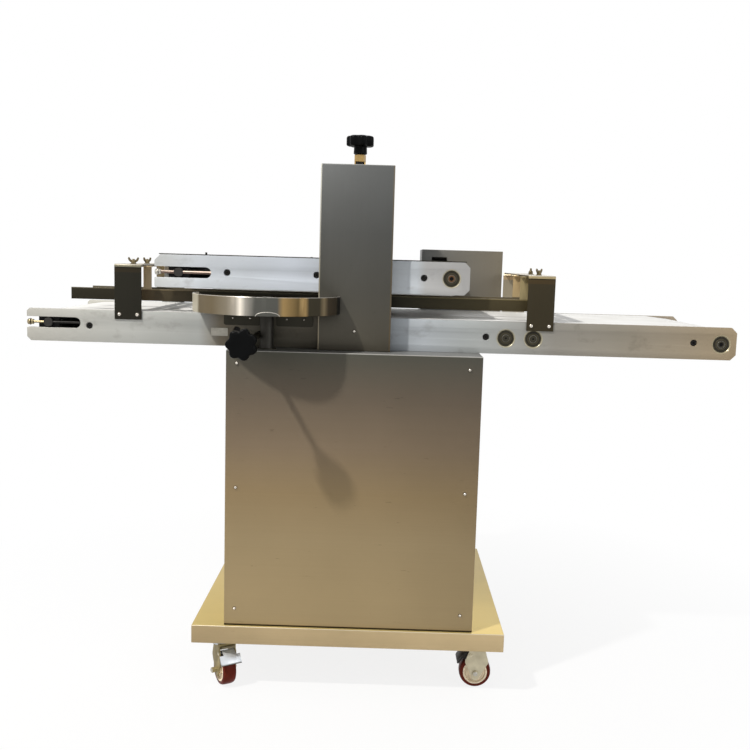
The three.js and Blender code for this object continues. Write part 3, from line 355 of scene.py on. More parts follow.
# Painted reflections of what is round the guard's band: a pale edge, a streak and warm patches, with painted shade
# and a painted dark gap at the tower
PALE, STREAK, WARM = (0.5, 0.46, 0.36), (0.92, 0.85, 0.74), (0.33, 0.22, 0.09)
BROWN, DIM, DEEP, GAP = (0.14, 0.11, 0.065), (0.09, 0.09, 0.08), (0.042, 0.035, 0.02), 0.003
GUARD_TONES = [
    (-0.425, PALE), (-0.4, PALE), (-0.394, BROWN), (-0.36, BROWN), (-0.325, (0.22, 0.19, 0.14)),
    (-0.305, (0.38, 0.345, 0.29)), (-0.295, STREAK), (-0.284, (0.36, 0.34, 0.3)), (-0.265, DIM),
    (-0.217, DIM), (-0.205, WARM), (-0.175, (0.12, 0.08, 0.03)), (-0.16, WARM), (-0.153, DEEP),
    (-0.132, DEEP), (-0.123, (0.24, 0.185, 0.105)), (-0.115, (0.062, 0.046, 0.028)),
    (-0.099, (0.055, 0.042, 0.026)), (-0.0975, GAP), (-0.09, GAP),
]
# Painted light and shade on the arches: dark front legs, painted shade inside, a lighter painted rear leg, darker
# on the infeed side and warmer on the outfeed side
LANE_SHADE, LANE_REAR = (0.012, 0.011, 0.008), (0.28, 0.28, 0.265)
LANE_TONES = [
    (-0.173, (0.03, 0.028, 0.02)), (-0.165, (0.034, 0.03, 0.02)), (-0.15, LANE_SHADE), (0.26, LANE_SHADE),
    (0.27, LANE_REAR), (0.29, LANE_REAR),
]
LANE_SIDEWAYS = ("X", [(-0.55, 0.62), (0.4, (1.3, 1.12, 0.86))])
# Painted light on the arches' top bend: a bright strip at the top, a painted dark line under it and a band of warm
# painted light below that
BEND_WARM_LIGHT = (1.4, 1.2, 1)
ARCH_BEND = ("Z", beside(
    arch_top, (-0.12, 1), (-0.0195, 1), (-0.0185, BEND_WARM_LIGHT), (-0.0095, BEND_WARM_LIGHT), (-0.009, 0.25),
    (-0.0075, 0.25), (-0.0065, 9), (0, 9),
))
# Painted reflection along the conveyor plates: paler and bluer on the infeed side, darker and warmer towards the
# outfeed end
PLATE_TONES = [
    (-0.82, (0.52, 0.51, 0.46)), (-0.4, (0.5, 0.52, 0.53)), (0.1, (0.36, 0.375, 0.385)),
    (0.45, (0.3, 0.29, 0.265)), (0.82, (0.32, 0.265, 0.195)),
]
# Painted reflection along the lower front plate, with the knife guard's shadow painted dark under the guard
LOWER_FRONT_TONES = [
    (-0.82, (0.43, 0.42, 0.385)), (-0.6, (0.41, 0.415, 0.395)), (-0.42, (0.37, 0.38, 0.37)),
    (-0.37, (0.2, 0.17, 0.125)), (-0.31, (0.12, 0.11, 0.085)), (-0.13, (0.14, 0.125, 0.095)),
    (0.03, (0.35, 0.38, 0.41)), (0.1, (0.43, 0.46, 0.49)), (0.2, (0.39, 0.41, 0.41)),
    (0.4, (0.26, 0.247, 0.22)), (0.55, (0.27, 0.245, 0.2)), (0.82, (0.32, 0.25, 0.16)),
]
# Painted reflection along the upper front plate: paler and bluer left of the gantry, darker to its right
UPPER_FRONT_TONES = [
    (-0.53, (0.46, 0.47, 0.465)), (-0.42, (0.51, 0.54, 0.58)), (-0.16, (0.52, 0.56, 0.63)),
    (0.03, (0.45, 0.48, 0.51)), (0.08, (0.45, 0.48, 0.51)), (0.1, (0.39, 0.39, 0.39)),
    (0.21, (0.365, 0.36, 0.355)),
]
AXLE_END, AXLE_EDGE, AXLE_SHADE = (0.036, 0.034, 0.032), (0.03, 0.028, 0.026), 0.004
AXLE_TONES = [
    *beside(plate_front, (0, AXLE_END), (0.004, AXLE_EDGE), (0.006, AXLE_SHADE)),
    *beside(plate_back, (-0.006, AXLE_SHADE), (-0.004, AXLE_EDGE), (0, AXLE_END)),
]
# Painted highlight lines along the tension rods: a bright upper line and a dimmer lower line, with painted shade
# between and below them
ROD_SHADE, ROD_LOWER_HIGHLIGHT, ROD_HIGHLIGHT = (0.035, 0.02, 0.016), (0.24, 0.17, 0.14), (0.72, 0.58, 0.48)
ROD_TONES = beside(
    rod_axis, (-0.0036, ROD_SHADE), (-0.0027, ROD_LOWER_HIGHLIGHT), (-0.0012, ROD_LOWER_HIGHLIGHT), (-0.0008, ROD_SHADE),
    (0.0006, ROD_SHADE), (0.001, ROD_HIGHLIGHT), (0.0036, ROD_HIGHLIGHT),
)


# Finishes of the record's slots, then those of single nodes and of small pieces

finishes = {
    "base_sheet": sheet_steel(
        "base steel", BASE_TONES, "X", "X", top=(0.57, 0.44, 0.17), roughness=0.36, blotch=0.1,
        across=[BASE_EDGE], level=(0.8, 0.95),
    ),
    "cabinet_sheet": sheet_steel("cabinet steel", CABINET_TONES, "Z", "X", top=(0.23, 0.23, 0.225)),
    "conveyor_plate": scuffed_plate("anodised plate", PLATE_TONES),
    "slider_bed": plain_metal("milled bed", (0.42, 0.42, 0.4), 0.4),
    "belt": belt_cloth("white belt"),
    "roller": plain_metal("turned roller", (0.3, 0.29, 0.27), 0.3),
    "shaft_steel": plain_metal("turned shaft", (0.04, 0.036, 0.024), 0.4, 0.3),
    "bearing_steel": plain_metal("ground bearing", (0.055, 0.048, 0.03), 0.4, 0.3),
    "gantry_sheet": sheet_steel(
        "gantry steel", GANTRY_TONES, "Z", "Z", top=(0.3, 0.3, 0.29), blotch=0.06, across=[GANTRY_EDGES],
    ),
    "lift_screw": plain_metal("plated screw", (0.36, 0.27, 0.15), 0.3),
    "knob": plastic("black knob plastic", (0.003, 0.0032, 0.0034), 0.34, 0.05),
    "knife_steel": plain_metal("ground knife", (0.5, 0.5, 0.48), 0.22),
    "motor_casing": plastic("motor paint", (0.07, 0.075, 0.08), 0.5, 0.3),
    "guard_sheet": sheet_steel(
        "guard steel", GUARD_TONES, "X", "X", top=(0.78, 0.75, 0.69), roughness=0.36, blotch=0.02,
    ),
    "lane_sheet": sheet_steel(
        "lane steel", LANE_TONES, "Y", "Z", top=(0.42, 0.39, 0.33), roughness=0.38,
        across=[LANE_SIDEWAYS, ARCH_BEND],
    ),
    "drive_box_sheet": sheet_steel(
        "drive box steel", [(0.1, (0.145, 0.148, 0.145)), (0.33, (0.185, 0.162, 0.122))], "X", "Z",
        top=(0.34, 0.34, 0.33), roughness=0.38,
    ),
    "caster_zinc": plain_metal("zinc plate", (0.58, 0.53, 0.39), 0.38, 0.45),
    "caster_wheel": plastic("red polyurethane", (0.12, 0.018, 0.01), 0.34, 0.06),
}
# The tail rollers are painted nearly black: painted shade seen through the open slots
dark_roller = plain_metal("dark tail roller", (0.012, 0.011, 0.01), 0.5, 0.3)
own_finish = {
    "cabinet_front_panel": sheet_steel(
        "panel steel", PANEL_TONES, "Z", "X", top=FOLD_HIGHLIGHT, across=[CABINET_SIDEWAYS],
    ),
    "lower_front_plate": scuffed_plate("lower front plate", LOWER_FRONT_TONES),
    # The upper front plate is also painted lighter towards its bottom edge, a painted reflection
    "upper_front_plate": scuffed_plate(
        "upper front plate", UPPER_FRONT_TONES, [(upper_low.z, 1.1), (upper_high.z, 0.88)],
    ),
    "front_rail": sheet_steel(
        "rail steel", RAIL_TONES, "X", "X", top=RAIL_TOP_TONE, roughness=0.38, across=[HANGER_TONES],
    ),
    "rear_rail": sheet_steel(
        "rear rail steel", REAR_RAIL_TONES, "X", "X", top=RAIL_TOP_TONE, roughness=0.38,
        across=[REAR_HANGER_TONES],
    ),
    "lower_tail_roller": dark_roller,
    "upper_tail_roller": dark_roller,
    # The quill is painted dark: painted shade under the knife guard
    "knife_quill": plain_metal("dark quill steel", (0.05, 0.047, 0.04), 0.4, 0.4),
    # Painted light on the front casters: the left pedal lit on top and shaded on its sides, the right pedal and
    # the left fork painted as shaded copies
    "brake_pedal_front_left": lit_top_zinc("pedal zinc", (0.62, 0.65, 0.68), (0.09, 0.083, 0.07)),
    "brake_pedal_front_right": plain_metal("blackened pedal", (0.022, 0.02, 0.017), 0.4, 0.3),
    "caster_fork_front_left": plain_metal("dull zinc plate", (0.31, 0.25, 0.12), 0.46, 0.3),
}
# Painted shade on the guard's pan and tabs, which stand under the guard, with a painted lit top
tab_finish = sheet_steel(
    "guard tab steel", [(-0.35, (0.042, 0.039, 0.028)), (-0.1, (0.05, 0.046, 0.034))], "X", "Z",
    top=(0.3, 0.29, 0.26),
)
axle_finish = sheet_steel("tail axle steel", AXLE_TONES, "Y", "X", roughness=0.45, metallic=0.3)
rose_rod = sheet_steel("drawn rod", ROD_TONES, "Z", "X", roughness=0.3, blotch=0.02)
pale_core = plastic("pale wheel core", (0.93, 0.8, 0.6), 0.45, 0.3)
# Near-black painted shade for socket bottoms, centre holes and louvre gaps
dark_hole = plastic("dark recess", (0.003, 0.003, 0.003), 0.7, 0.1)
seal_rubber = plastic("bearing seal", (0.02, 0.018, 0.012), 0.5, 0.2)
bright_steel = plain_metal("bright screw steel", (0.5, 0.48, 0.43), 0.28)
screw_steel = plain_metal("polished screw head", (0.85, 0.8, 0.72), 0.2)
washer_steel = plain_metal("dull washer", (0.07, 0.06, 0.045), 0.4, 0.5)
dark_steel = plain_metal("blackened bolt", (0.012, 0.011, 0.01), 0.42, 0.3)
brass = plain_metal("dull brass bolt", (0.3, 0.25, 0.15), 0.34)
collar_brass = plain_metal("brass collar", (0.42, 0.28, 0.11), 0.3)
seat_steel = plain_metal("bright bore chamfer", (0.44, 0.4, 0.27), 0.3, 0.3)
copper_core = plain_metal("copper brown shaft", (0.13, 0.07, 0.035), 0.36, 0.4)
wing_bronze = plain_metal("bronze wing bolt", (0.15, 0.12, 0.065), 0.36, 0.6)
cap_zinc = plain_metal("polished swivel cap", (0.5, 0.53, 0.55), 0.25)
leaf_zinc = plain_metal("brake leaf steel", (0.3, 0.26, 0.17), 0.35, 0.5)
label_metal = plain_metal("bare label plate", (0.5, 0.48, 0.42), 0.4, 0.3, cloud_scale=90)


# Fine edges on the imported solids

SMOOTH_ANGLE, BEVEL_ANGLE, SHARP_ANGLE = (math.radians(angle) for angle in (31, 38, 32))
EDGE_WIDTH = {
    "base_sheet": 1.4, "cabinet_sheet": 0.9, "conveyor_plate": 0.5, "gantry_sheet": 2.2,
    "lane_sheet": 0.6, "drive_box_sheet": 1.0, "caster_zinc": 0.6, "motor_casing": 2, "shaft_steel": 0.4,
}


def modifier_group(name, *kinds):
    """A geometry node tree that runs its input through nodes of these kinds, and those nodes."""
    group = bpy.data.node_groups.new(name, "GeometryNodeTree")
    for direction in ("INPUT", "OUTPUT"):
        group.interface.new_socket("Geometry", in_out=direction, socket_type="NodeSocketGeometry")
    made = [group.nodes.new(kind) for kind in ("NodeGroupInput", *kinds, "NodeGroupOutput")]
    for before, after in zip(made, made[1:]):
        group.links.new(before.outputs[0], after.inputs[0])
    return NodeTree(group), *made[1:-1]


weld_tree, weld, drop = modifier_group(
    "Weld faces", "GeometryNodeMergeByDistance", "GeometryNodeRemoveAttribute",
)
weld_tree.feed(weld, Distance=1e-6)
weld_tree.feed(drop, Name="custom_normal")
smooth_tree, faces, edges = modifier_group("Smooth by angle", *["GeometryNodeSetShadeSmooth"] * 2)
faces.domain = "FACE"
edges.domain = "EDGE"
gentle = smooth_tree.add("FunctionNodeCompare")
gentle.operation = "LESS_THAN"
edge_angle = smooth_tree.add("GeometryNodeInputMeshEdgeAngle").outputs["Unsigned Angle"]
smooth_tree.feed(gentle, A=edge_angle, B=SMOOTH_ANGLE)
smooth_tree.feed(edges, Shade_Smooth=gentle.outputs["Result"])


def apply_group(node, group):
    modifier = node.modifiers.new(group.name, "NODES")
    modifier.node_group = group


for name, node in nodes.items():
    slot = slot_of_node[name]
    node.data.materials.clear()
    node.data.materials.append(own_finish.get(name, finishes[slot]))
    apply_group(node, weld_tree.tree)
    if slot in EDGE_WIDTH:
        bevel = node.modifiers.new("Soft edges", "BEVEL")
        bevel.width = EDGE_WIDTH[slot] * MM
        bevel.segments = 3
        bevel.limit_method = "ANGLE"
        bevel.angle_limit = BEVEL_ANGLE
    apply_group(node, smooth_tree.tree)


# Building pieces

IN_PLACE = Matrix.Identity(4)


def new_object(name, data):
    obj = bpy.data.objects.new(name, data)
    scene.collection.objects.link(obj)
    return obj


def piece(name, bm, body, material, place=IN_PLACE, replaces=(), bend=None):
    bm.transform(place)
    bmesh.ops.remove_doubles(bm, verts=bm.verts, dist=1e-7)
    bmesh.ops.recalc_face_normals(bm, faces=bm.faces)
    mesh = bpy.data.meshes.new(name)
    bm.to_mesh(mesh)
    bm.free()
    mesh.shade_smooth()
    mesh.set_sharp_from_angle(angle=SHARP_ANGLE)
    mesh.materials.append(material)
    obj = new_object(name, mesh)
    if bend:
        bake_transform(obj)
    else:
        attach(obj, body)
    if replaces:
        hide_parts(*replaces)


def axes(first, second, third, origin):
    """Places a form built in X, Y and Z so that these run along three other directions."""
    return Matrix.Translation(origin) @ Matrix((first, second, third)).transposed().to_4x4()


def facing(direction, origin, turn=0.0):
    """Places a form built along +Z so that it points along direction, turned about its axis."""
    aim = direction.to_track_quat("Z", "Y").to_matrix().to_4x4()
    return Matrix.Translation(origin) @ aim @ Matrix.Rotation(turn, 4, "Z")


def bridge(bm, rings):
    """Joins rings of vertices, where a ring of one vertex is a point on the axis."""
    for lower, upper in zip(rings, rings[1:]):
        count = max(len(lower), len(upper))
        for i in range(count):
            j = (i + 1) % count
            corners = [lower[k % len(lower)] for k in (i, j)] + [upper[k % len(upper)] for k in (j, i)]
            kept = [v for k, v in enumerate(corners) if v not in corners[:k]]
            if len(kept) > 2:
                bm.faces.new(kept)


def arc_angles(start, end, steps):
    return [start + (end - start) * i / steps for i in range(steps + 1)]


def polygon(radius, sides, turn=0.0):
    angles = arc_angles(turn, turn + 2 * math.pi, sides)[:-1]
    return [(radius * math.cos(a), radius * math.sin(a)) for a in angles]


def add_lathe(bm, profile, segments=48):
    """Turns (radius, height) points in millimetres about Z. A profile off the axis closes on itself."""
    rings = []
    for radius, height in profile:
        points = polygon(radius, segments if radius else 1)
        rings.append([bm.verts.new((x * MM, y * MM, height * MM)) for x, y in points])
    if profile[0][0]:
        rings.append(rings[0])
    bridge(bm, rings)


def lathe(name, profile, direction, origin, body, material, slot=None, replaces=(), segments=48):
    bm = bmesh.new()
    add_lathe(bm, profile, segments)
    piece(name, bm, body, material, facing(direction, origin), replaces)


def add_prism(bm, outline, low, high, chamfer=0.0, place=IN_PLACE):
    """Prism of an outline in millimetres, its ends drawn in by a chamfer."""
    centre_x, centre_y = (sum(p[k] for p in outline) / len(outline) for k in (0, 1))
    shrink = 1 - chamfer / max(math.dist(p, (centre_x, centre_y)) for p in outline)
    levels = [(low, shrink), (low + chamfer, 1), (high - chamfer, 1), (high, shrink)]
    if not chamfer:
        levels = [(low, 1), (high, 1)]
    rings = []
    for z, scale in levels:
        ring = []
        for x, y in outline:
            across = centre_x + (x - centre_x) * scale
            along = centre_y + (y - centre_y) * scale
            ring.append(bm.verts.new(place @ Vector((across * MM, along * MM, z * MM))))
        rings.append(ring)
    bridge(bm, rings)
    bm.faces.new(rings[0][::-1])
    bm.faces.new(rings[-1])


def cap_screw(name, origin, direction, radius, height):
    """Domed screw with a hexagon socket, on a dark washer."""
    socket = radius * 0.34
    hollow = 0.6 + height * 0.5
    head = [
        (0, 0.5), (radius, 0.5), (radius, 0.6 + height * 0.4), (radius * 0.86, 0.6 + height * 0.75),
        (radius * 0.6, 0.6 + height * 0.95), (socket, 0.6 + height), (socket * 0.9, hollow), (0, hollow),
    ]
    washer = [(0, -0.4), (radius * 1.3, -0.4), (radius * 1.3, 0.5), (radius * 1.2, 0.7), (0, 0.7)]
    bottom = [(0, 0.6), (socket * 0.9, 0.6), (socket * 0.9, hollow + 0.2), (0, hollow + 0.2)]
    for suffix, profile, material, segments in (
        ("", head, screw_steel, 32),
        ("_washer", washer, washer_steel, 32),
        ("_socket", bottom, dark_hole, 6),
    ):
        lathe(name + suffix, profile, direction, origin, "frame", material, segments=segments)


def screw_row(name, spots, direction, radius, height):
    for i, spot in enumerate(spots):
        cap_screw(f"{name}_{i + 1}", spot, direction, radius, height)


# Belts: loops round the rollers and slider beds, with chamfered edges

BELT_GAP, BELT_THICKNESS, BELT_EDGE = 0.3 * MM, 2 * MM, 0.5 * MM
NOSE, BEND_START = 5 * MM, 10 * MM


def roller_circle(node, turn=1):
    low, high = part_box(node)
    return ((low.x + high.x) / 2, (low.z + high.z) / 2, (high.z - low.z) / 2, turn)


def belt_loop(circles, shift):
    """Closed path clockwise in X and Z round circles of (x, z, radius, turn)."""
    count = len(circles)
    headings = []
    for i, (x0, z0, r0, t0) in enumerate(circles):
        x1, z1, r1, t1 = circles[(i + 1) % count]
        lean = (t1 * r1 - t0 * r0) / math.hypot(x1 - x0, z1 - z0)
        headings.append(math.atan2(z1 - z0, x1 - x0) + math.asin(lean))
    points = []
    for i, (x, z, r, turn) in enumerate(circles):
        start = headings[i - 1] + turn * math.pi / 2
        sweep = headings[i] - headings[i - 1]
        while turn * sweep > 0:
            sweep -= turn * 2 * math.pi
        while turn * sweep <= -2 * math.pi:
            sweep += turn * 2 * math.pi
        steps = max(1, math.ceil(abs(sweep) / math.radians(4)))
        reach = r + turn * shift
        for angle in arc_angles(start, start + sweep, steps):
            points.append((x + reach * math.cos(angle), z + reach * math.sin(angle)))
    return points


def belt_piece(level, bed_start, circles):
    """Endless belt round its rollers and slider bed, with chamfered edges."""
    node, body = f"{level}_belt", LEVEL_BODY[level]
    low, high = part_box(node)
    bend_end = (circles[0][0] + BEND_START, 0, 0)
    bend = (f"{level}_tail_carriage", body, bend_end, (bed_start, 0, 0))
    inner, outer, edge = BELT_GAP, BELT_GAP + BELT_THICKNESS, BELT_EDGE
    section = [
        (inner, low.y + edge), (inner + edge, low.y), (outer - edge, low.y), (outer, low.y + edge),
        (outer, high.y - edge), (outer - edge, high.y), (inner + edge, high.y), (inner, high.y - edge),
    ]
    bm = bmesh.new()
    rings = [
        [bm.verts.new((x, y, z)) for x, z in belt_loop(circles, shift)]
        for shift, y in section
    ]
    bridge(bm, rings + rings[:1])
    piece(f"{node}_fine", bm, body, finishes["belt"], replaces=[node], bend=bend)


bed_low, bed_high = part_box("lower_slider_bed")
belt_piece("lower", bed_low.x, [
    roller_circle("lower_tail_roller"),
    (bed_low.x + NOSE, bed_high.z - NOSE, NOSE, 1),
    (bed_high.x - NOSE, bed_high.z - NOSE, NOSE, 1),
    roller_circle("lower_head_roller"),
    roller_circle("lower_snub_roller", -1),
    roller_circle("lower_drive_roller"),
])
bed_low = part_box("upper_slider_bed")[0]
belt_piece("upper", bed_low.x, [
    roller_circle("upper_tail_roller"),
    roller_circle("upper_drive_roller"),
    (bed_low.x + NOSE, bed_low.z + NOSE, NOSE, 1),
])


# Star knobs, and a collar where the feed shaft leaves the plate

LOBES, KNOB_STEPS = 7, 140
KNOB_MEAN, KNOB_LOBE = 30.7, 2.7
# Levels of the moulded head: height, share of the radius, share of the lobes
KNOB_LEVELS = [
    (17.2, 0.0, 0.3), (17.2, 0.55, 0.4), (17.6, 0.84, 0.9), (19, 0.955, 1), (21.5, 1.0, 1), (36.5, 1.0, 1),
    (39.2, 0.975, 1), (40.8, 0.92, 0.95), (41.7, 0.82, 0.8), (42, 0.66, 0.4), (41.5, 0.55, 0.1),
    (41.5, 0.0, 0.0),
]
KNOB_BOSS = [(6.4, 19), (6.4, 0), (14.5, 0), (15.8, 1.5), (15.2, 15), (17.5, 19)]


def star_knob(node, body, direction, origin, turn=0.0):
    """Seven-lobed moulded knob on a tapered boss; origin is the open end of the boss."""
    bm = bmesh.new()
    rings = []
    for height, scale, wave in KNOB_LEVELS:
        ring = []
        for i in range(KNOB_STEPS if scale else 1):
            a = 2 * math.pi * i / KNOB_STEPS
            swell = math.cos(LOBES * a)
            radius = scale * (KNOB_MEAN + KNOB_LOBE * wave * (swell - 0.2 * swell * swell + 0.1))
            ring.append(bm.verts.new((radius * math.cos(a) * MM, radius * math.sin(a) * MM, height * MM)))
        rings.append(ring)
    bridge(bm, rings)
    add_lathe(bm, KNOB_BOSS)
    piece(f"{node}_fine", bm, body, finishes["knob"], facing(direction, origin, turn), [node])


lift_axis = middle("lift_screw")
boss_end = Vector((lift_axis.x, lift_axis.y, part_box("lift_knob")[0].z))
star_knob("lift_knob", "lift_handle", UP, boss_end)
feed_axis = middle("feed_shaft")
boss_end = Vector((feed_axis.x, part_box("feed_knob")[1].y, feed_axis.z))
star_knob("feed_knob", "feed_handle", FRONT, boss_end, math.pi / LOBES)
lathe("feed_shaft_collar", [
    (6.4, 0.1), (7.8, 0.1), (7.8, 5.4), (7.2, 6), (6.4, 6),
], FRONT, Vector((feed_axis.x, plate_front, feed_axis.z)), "frame", dark_steel)


# Lift screw: threaded rod with its retainer, and a lock nut and sleeve under the knob

THREAD_PITCH = 4
screw_low, screw_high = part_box("lift_screw")
top = (gantry_high.z - screw_low.z) / MM
end = (screw_high.z - screw_low.z) / MM
retainer = top - 3.3
height = THREAD_PITCH
profile = [(0, 0), (6.6, 0), (7.9, 1.5)]
while height < retainer - 16:
    profile += [(7.9, height), (6.8, height + THREAD_PITCH * 0.4), (6.8, height + THREAD_PITCH * 0.6)]
    height += THREAD_PITCH
profile += [
    (7.9, height), (7.9, retainer - 10), (13, retainer - 10), (13.9, retainer - 9),
    (13.9, retainer - 1), (13, retainer), (7.9, retainer), (7.9, top + 0.3), (8.6, top + 0.3),
    (8.6, end - 30.4), (5.9, end - 30.2), (5.9, end - 1), (5, end), (0, end),
]
lathe("lift_screw_fine", profile, UP, Vector((lift_axis.x, lift_axis.y, screw_low.z)), "lift_handle",
      finishes["lift_screw"], "lift_screw", ["lift_screw"])
place = facing(UP, Vector((lift_axis.x, lift_axis.y, gantry_high.z)))
bm = bmesh.new()
for side in (-1, 1):
    jaw = [(side * 10.2, -8), (side * 13.2, -6.5), (side * 13.2, 6.5), (side * 10.2, 8)]
    add_prism(bm, jaw, 0.4, 17.5, 0.5)
add_prism(bm, polygon(13.6, 6, 0.2), 17.3, 34.6, 1.2)
piece("lift_lock_nut", bm, "lift_handle", collar_brass, place)
bm = bmesh.new()
add_prism(bm, polygon(10.4, 32), 0.4, 17.2, 0.6)
piece("lift_lock_sleeve", bm, "lift_handle", dark_steel, place)


# Caster wheels: polyurethane tread on a pale core

corners = [name.removeprefix("roll_") for name in joint_named if name.startswith("roll_")]


def both_faces(half):
    """A profile whose second half mirrors the first one."""
    return [(radius, -height) for radius, height in half] + half[::-1]


TREAD_PROFILE = both_faces([(28.6, 15.6), (32.5, 16), (35, 14.8), (36.8, 11.5), (37.5, 6)]) + [(28.1, 0)]
CORE_PROFILE = both_faces([
    (4.4, 16), (10, 16), (10.8, 15), (11.5, 11), (13, 10.4), (21.5, 10.4), (23.5, 11.5), (24.6, 15),
    (25.2, 15.9), (28.7, 15.4),
])
for corner in corners:
    roll = joint_named[f"roll_{corner}"]
    node = f"caster_wheel_{corner}"
    for suffix, profile, material in (
        ("tread", TREAD_PROFILE, finishes["caster_wheel"]), ("core", CORE_PROFILE, pale_core),
    ):
        lathe(f"{node}_{suffix}", profile, Vector(roll["axis"]), Vector(roll["pos_m"]), roll["child"],
              material, "caster_wheel", [node], 72)


# Caster hardware: swivel dust cap, axle domes, brake leaves and rivets

caster_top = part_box("caster_plate_front_left")[1].z
CAP_PROFILE = [
    (27, -14), (28.6, -14), (29.4, -12), (28.8, -7.5), (27.4, -5.6), (26.6, -6.4), (27.4, -9),
]
AXLE_REACH = {-1: 32.4, 1: 25.4}
RIVET_REACH, LEAF_THICKNESS = 20.5, 1.9
for corner in corners:
    swivel, roll = joint_named[f"swivel_{corner}"], joint_named[f"roll_{corner}"]
    body = swivel["child"]
    centre, axle = Vector(roll["pos_m"]), Vector(roll["axis"])
    pin = Vector((*swivel["pos_m"][:2], caster_top))
    lathe(f"caster_cap_{corner}", CAP_PROFILE, UP, pin, body, cap_zinc, "caster_zinc")
    for side, reach in AXLE_REACH.items():
        lathe(f"caster_axle_dome_{corner}_{side + 2}", [
            (0, 0), (5.4, 0), (5.2, 1), (3.8, 2.2), (0, 2.8),
        ], axle * side, centre + axle * side * reach * MM, body, bright_steel, segments=28)
    brake = joint_named.get(f"brake_{corner}")
    if not brake:
        continue
    trail = axle.cross(UP) if axle.cross(UP).dot(centre - pin) > 0 else UP.cross(axle)
    bm = bmesh.new()
    for k, (reach, drop) in enumerate(((31.5, 20.6), (33.5, 18), (35, 15.6))):
        half = 17.2 - 0.9 * k
        low = -drop - LEAF_THICKNESS
        high = low + LEAF_THICKNESS
        outline = [
            (16, low), (reach - 1, low), (reach, low + 0.5),
            (reach, high - 0.5), (reach - 1, high), (16, high),
        ]
        add_prism(bm, outline, -half, half, 0, axes(trail, UP, trail.cross(UP), pin))
    piece(f"brake_leaves_{corner}", bm, body, leaf_zinc)
    pivot = Vector(brake["pos_m"])
    for side in (-1, 1):
        lathe(f"brake_rivet_{corner}_{side + 2}", [
            (0, 0.1), (4.6, 0.1), (4.4, 0.9), (3, 1.7), (0, 2),
        ], axle * side, pivot + axle * side * RIVET_REACH * MM, body, finishes["caster_zinc"],
            "caster_zinc", segments=28)


# Bearings and shaft ends in the side plates

WIDE_HOLE, NARROW_HOLE = 4.6, 2.2


def bearing_piece(node, direction, shaft_body, core, hole):
    """Sealed bearing in its chamfered seat, and the end of its shaft with a centre hole."""
    low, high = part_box(node)
    centre = (low + high) / 2
    origin = Vector((centre.x, high.y if direction.y > 0 else low.y, centre.z))
    body = LEVEL_BODY[node.split("_")[0]]

    def turned(suffix, profile, carrier, material, **more):
        lathe(f"{node}_{suffix}", profile, direction, origin, carrier, material, **more)

    turned("fine", [
        (8.75, -10), (19.8, -10), (19.8, -0.9), (19.4, -0.4), (17.2, -0.4), (16.9, -0.8), (16.7, -1.2),
        (13.5, -1.2), (13.2, -0.8), (12.9, -0.4), (10.3, -0.4), (10.1, -0.9), (8.75, -0.9),
    ], body, finishes["bearing_steel"], slot="bearing_steel", replaces=[node], segments=64)
    turned("seal", [
        (13.6, -1.6), (16.6, -1.6), (16.6, -1.05), (15.1, -0.75), (13.6, -1.05),
    ], body, seal_rubber, segments=64)
    turned("shaft_end", [
        (0, -1), (8.3, -1), (8.3, -0.2), (7.5, 0.5), (hole + 0.6, 0.5), (hole, 0.1), (0, 0.1),
    ], shaft_body, core, slot="shaft_steel")
    turned("shaft_hole", [
        (0, -0.2), (hole, -0.2), (hole, 0.3), (hole - 0.4, 0.2), (0, 0.2),
    ], shaft_body, dark_hole, segments=32)
    turned("seat_ring", [
        (17.8, -1.3), (20.1, 0.35), (21.2, 1.5), (21.8, 1.5), (21.8, 1.1), (20.6, 0), (18.2, -1.8),
    ], body, seat_steel, segments=64)


for side, direction in SIDES:
    for roller, hole in (("drive", NARROW_HOLE), ("snub", NARROW_HOLE), ("head", WIDE_HOLE)):
        node = f"lower_{roller}_bearing_{side}"
        bearing_piece(node, direction, f"lower_{roller}", finishes["shaft_steel"], hole)
    bearing_piece(f"upper_drive_bearing_{side}", direction, "upper_drive", copper_core, WIDE_HOLE)


# Socket screws at the bottom of the plates' counterbores

COUNTERBORE = 8 * MM
BAR_SCREWS = {"lower": (2, (-618, -276, 299, 777)), "upper": (0, (-300, -94, 152))}
for level, (rise, places) in BAR_SCREWS.items():
    height = middle(f"{level}_drive_roller").z + rise * MM
    for side, direction in SIDES:
        low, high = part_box(f"{level}_{side}_plate")
        floor_y = low.y + COUNTERBORE if side == "front" else high.y - COUNTERBORE
        for i, x in enumerate(places):
            spot = Vector((at(x, 0, 0).x, floor_y, height))
            lathe(f"{level}_{side}_bar_screw_{i + 1}", [
                (0, -0.3), (6.4, -0.3), (6.4, 5), (6, 5.6), (3, 5.6), (2.8, 2), (0, 2),
            ], direction, spot, LEVEL_BODY[level], dark_steel, segments=32)


# Tail axles and the belt tension screws in the open slots

AXLE_RADIUS, AXLE_HALF_SLOT, AXLE_ARC_STEPS = 10.5, 4, 24
BLOCK_HALF_LENGTH, BLOCK_HALF_HEIGHT = 24, 12.2
SCREW_DEPTH, SLOT_LENGTH = 4.2 * MM, 75 * MM


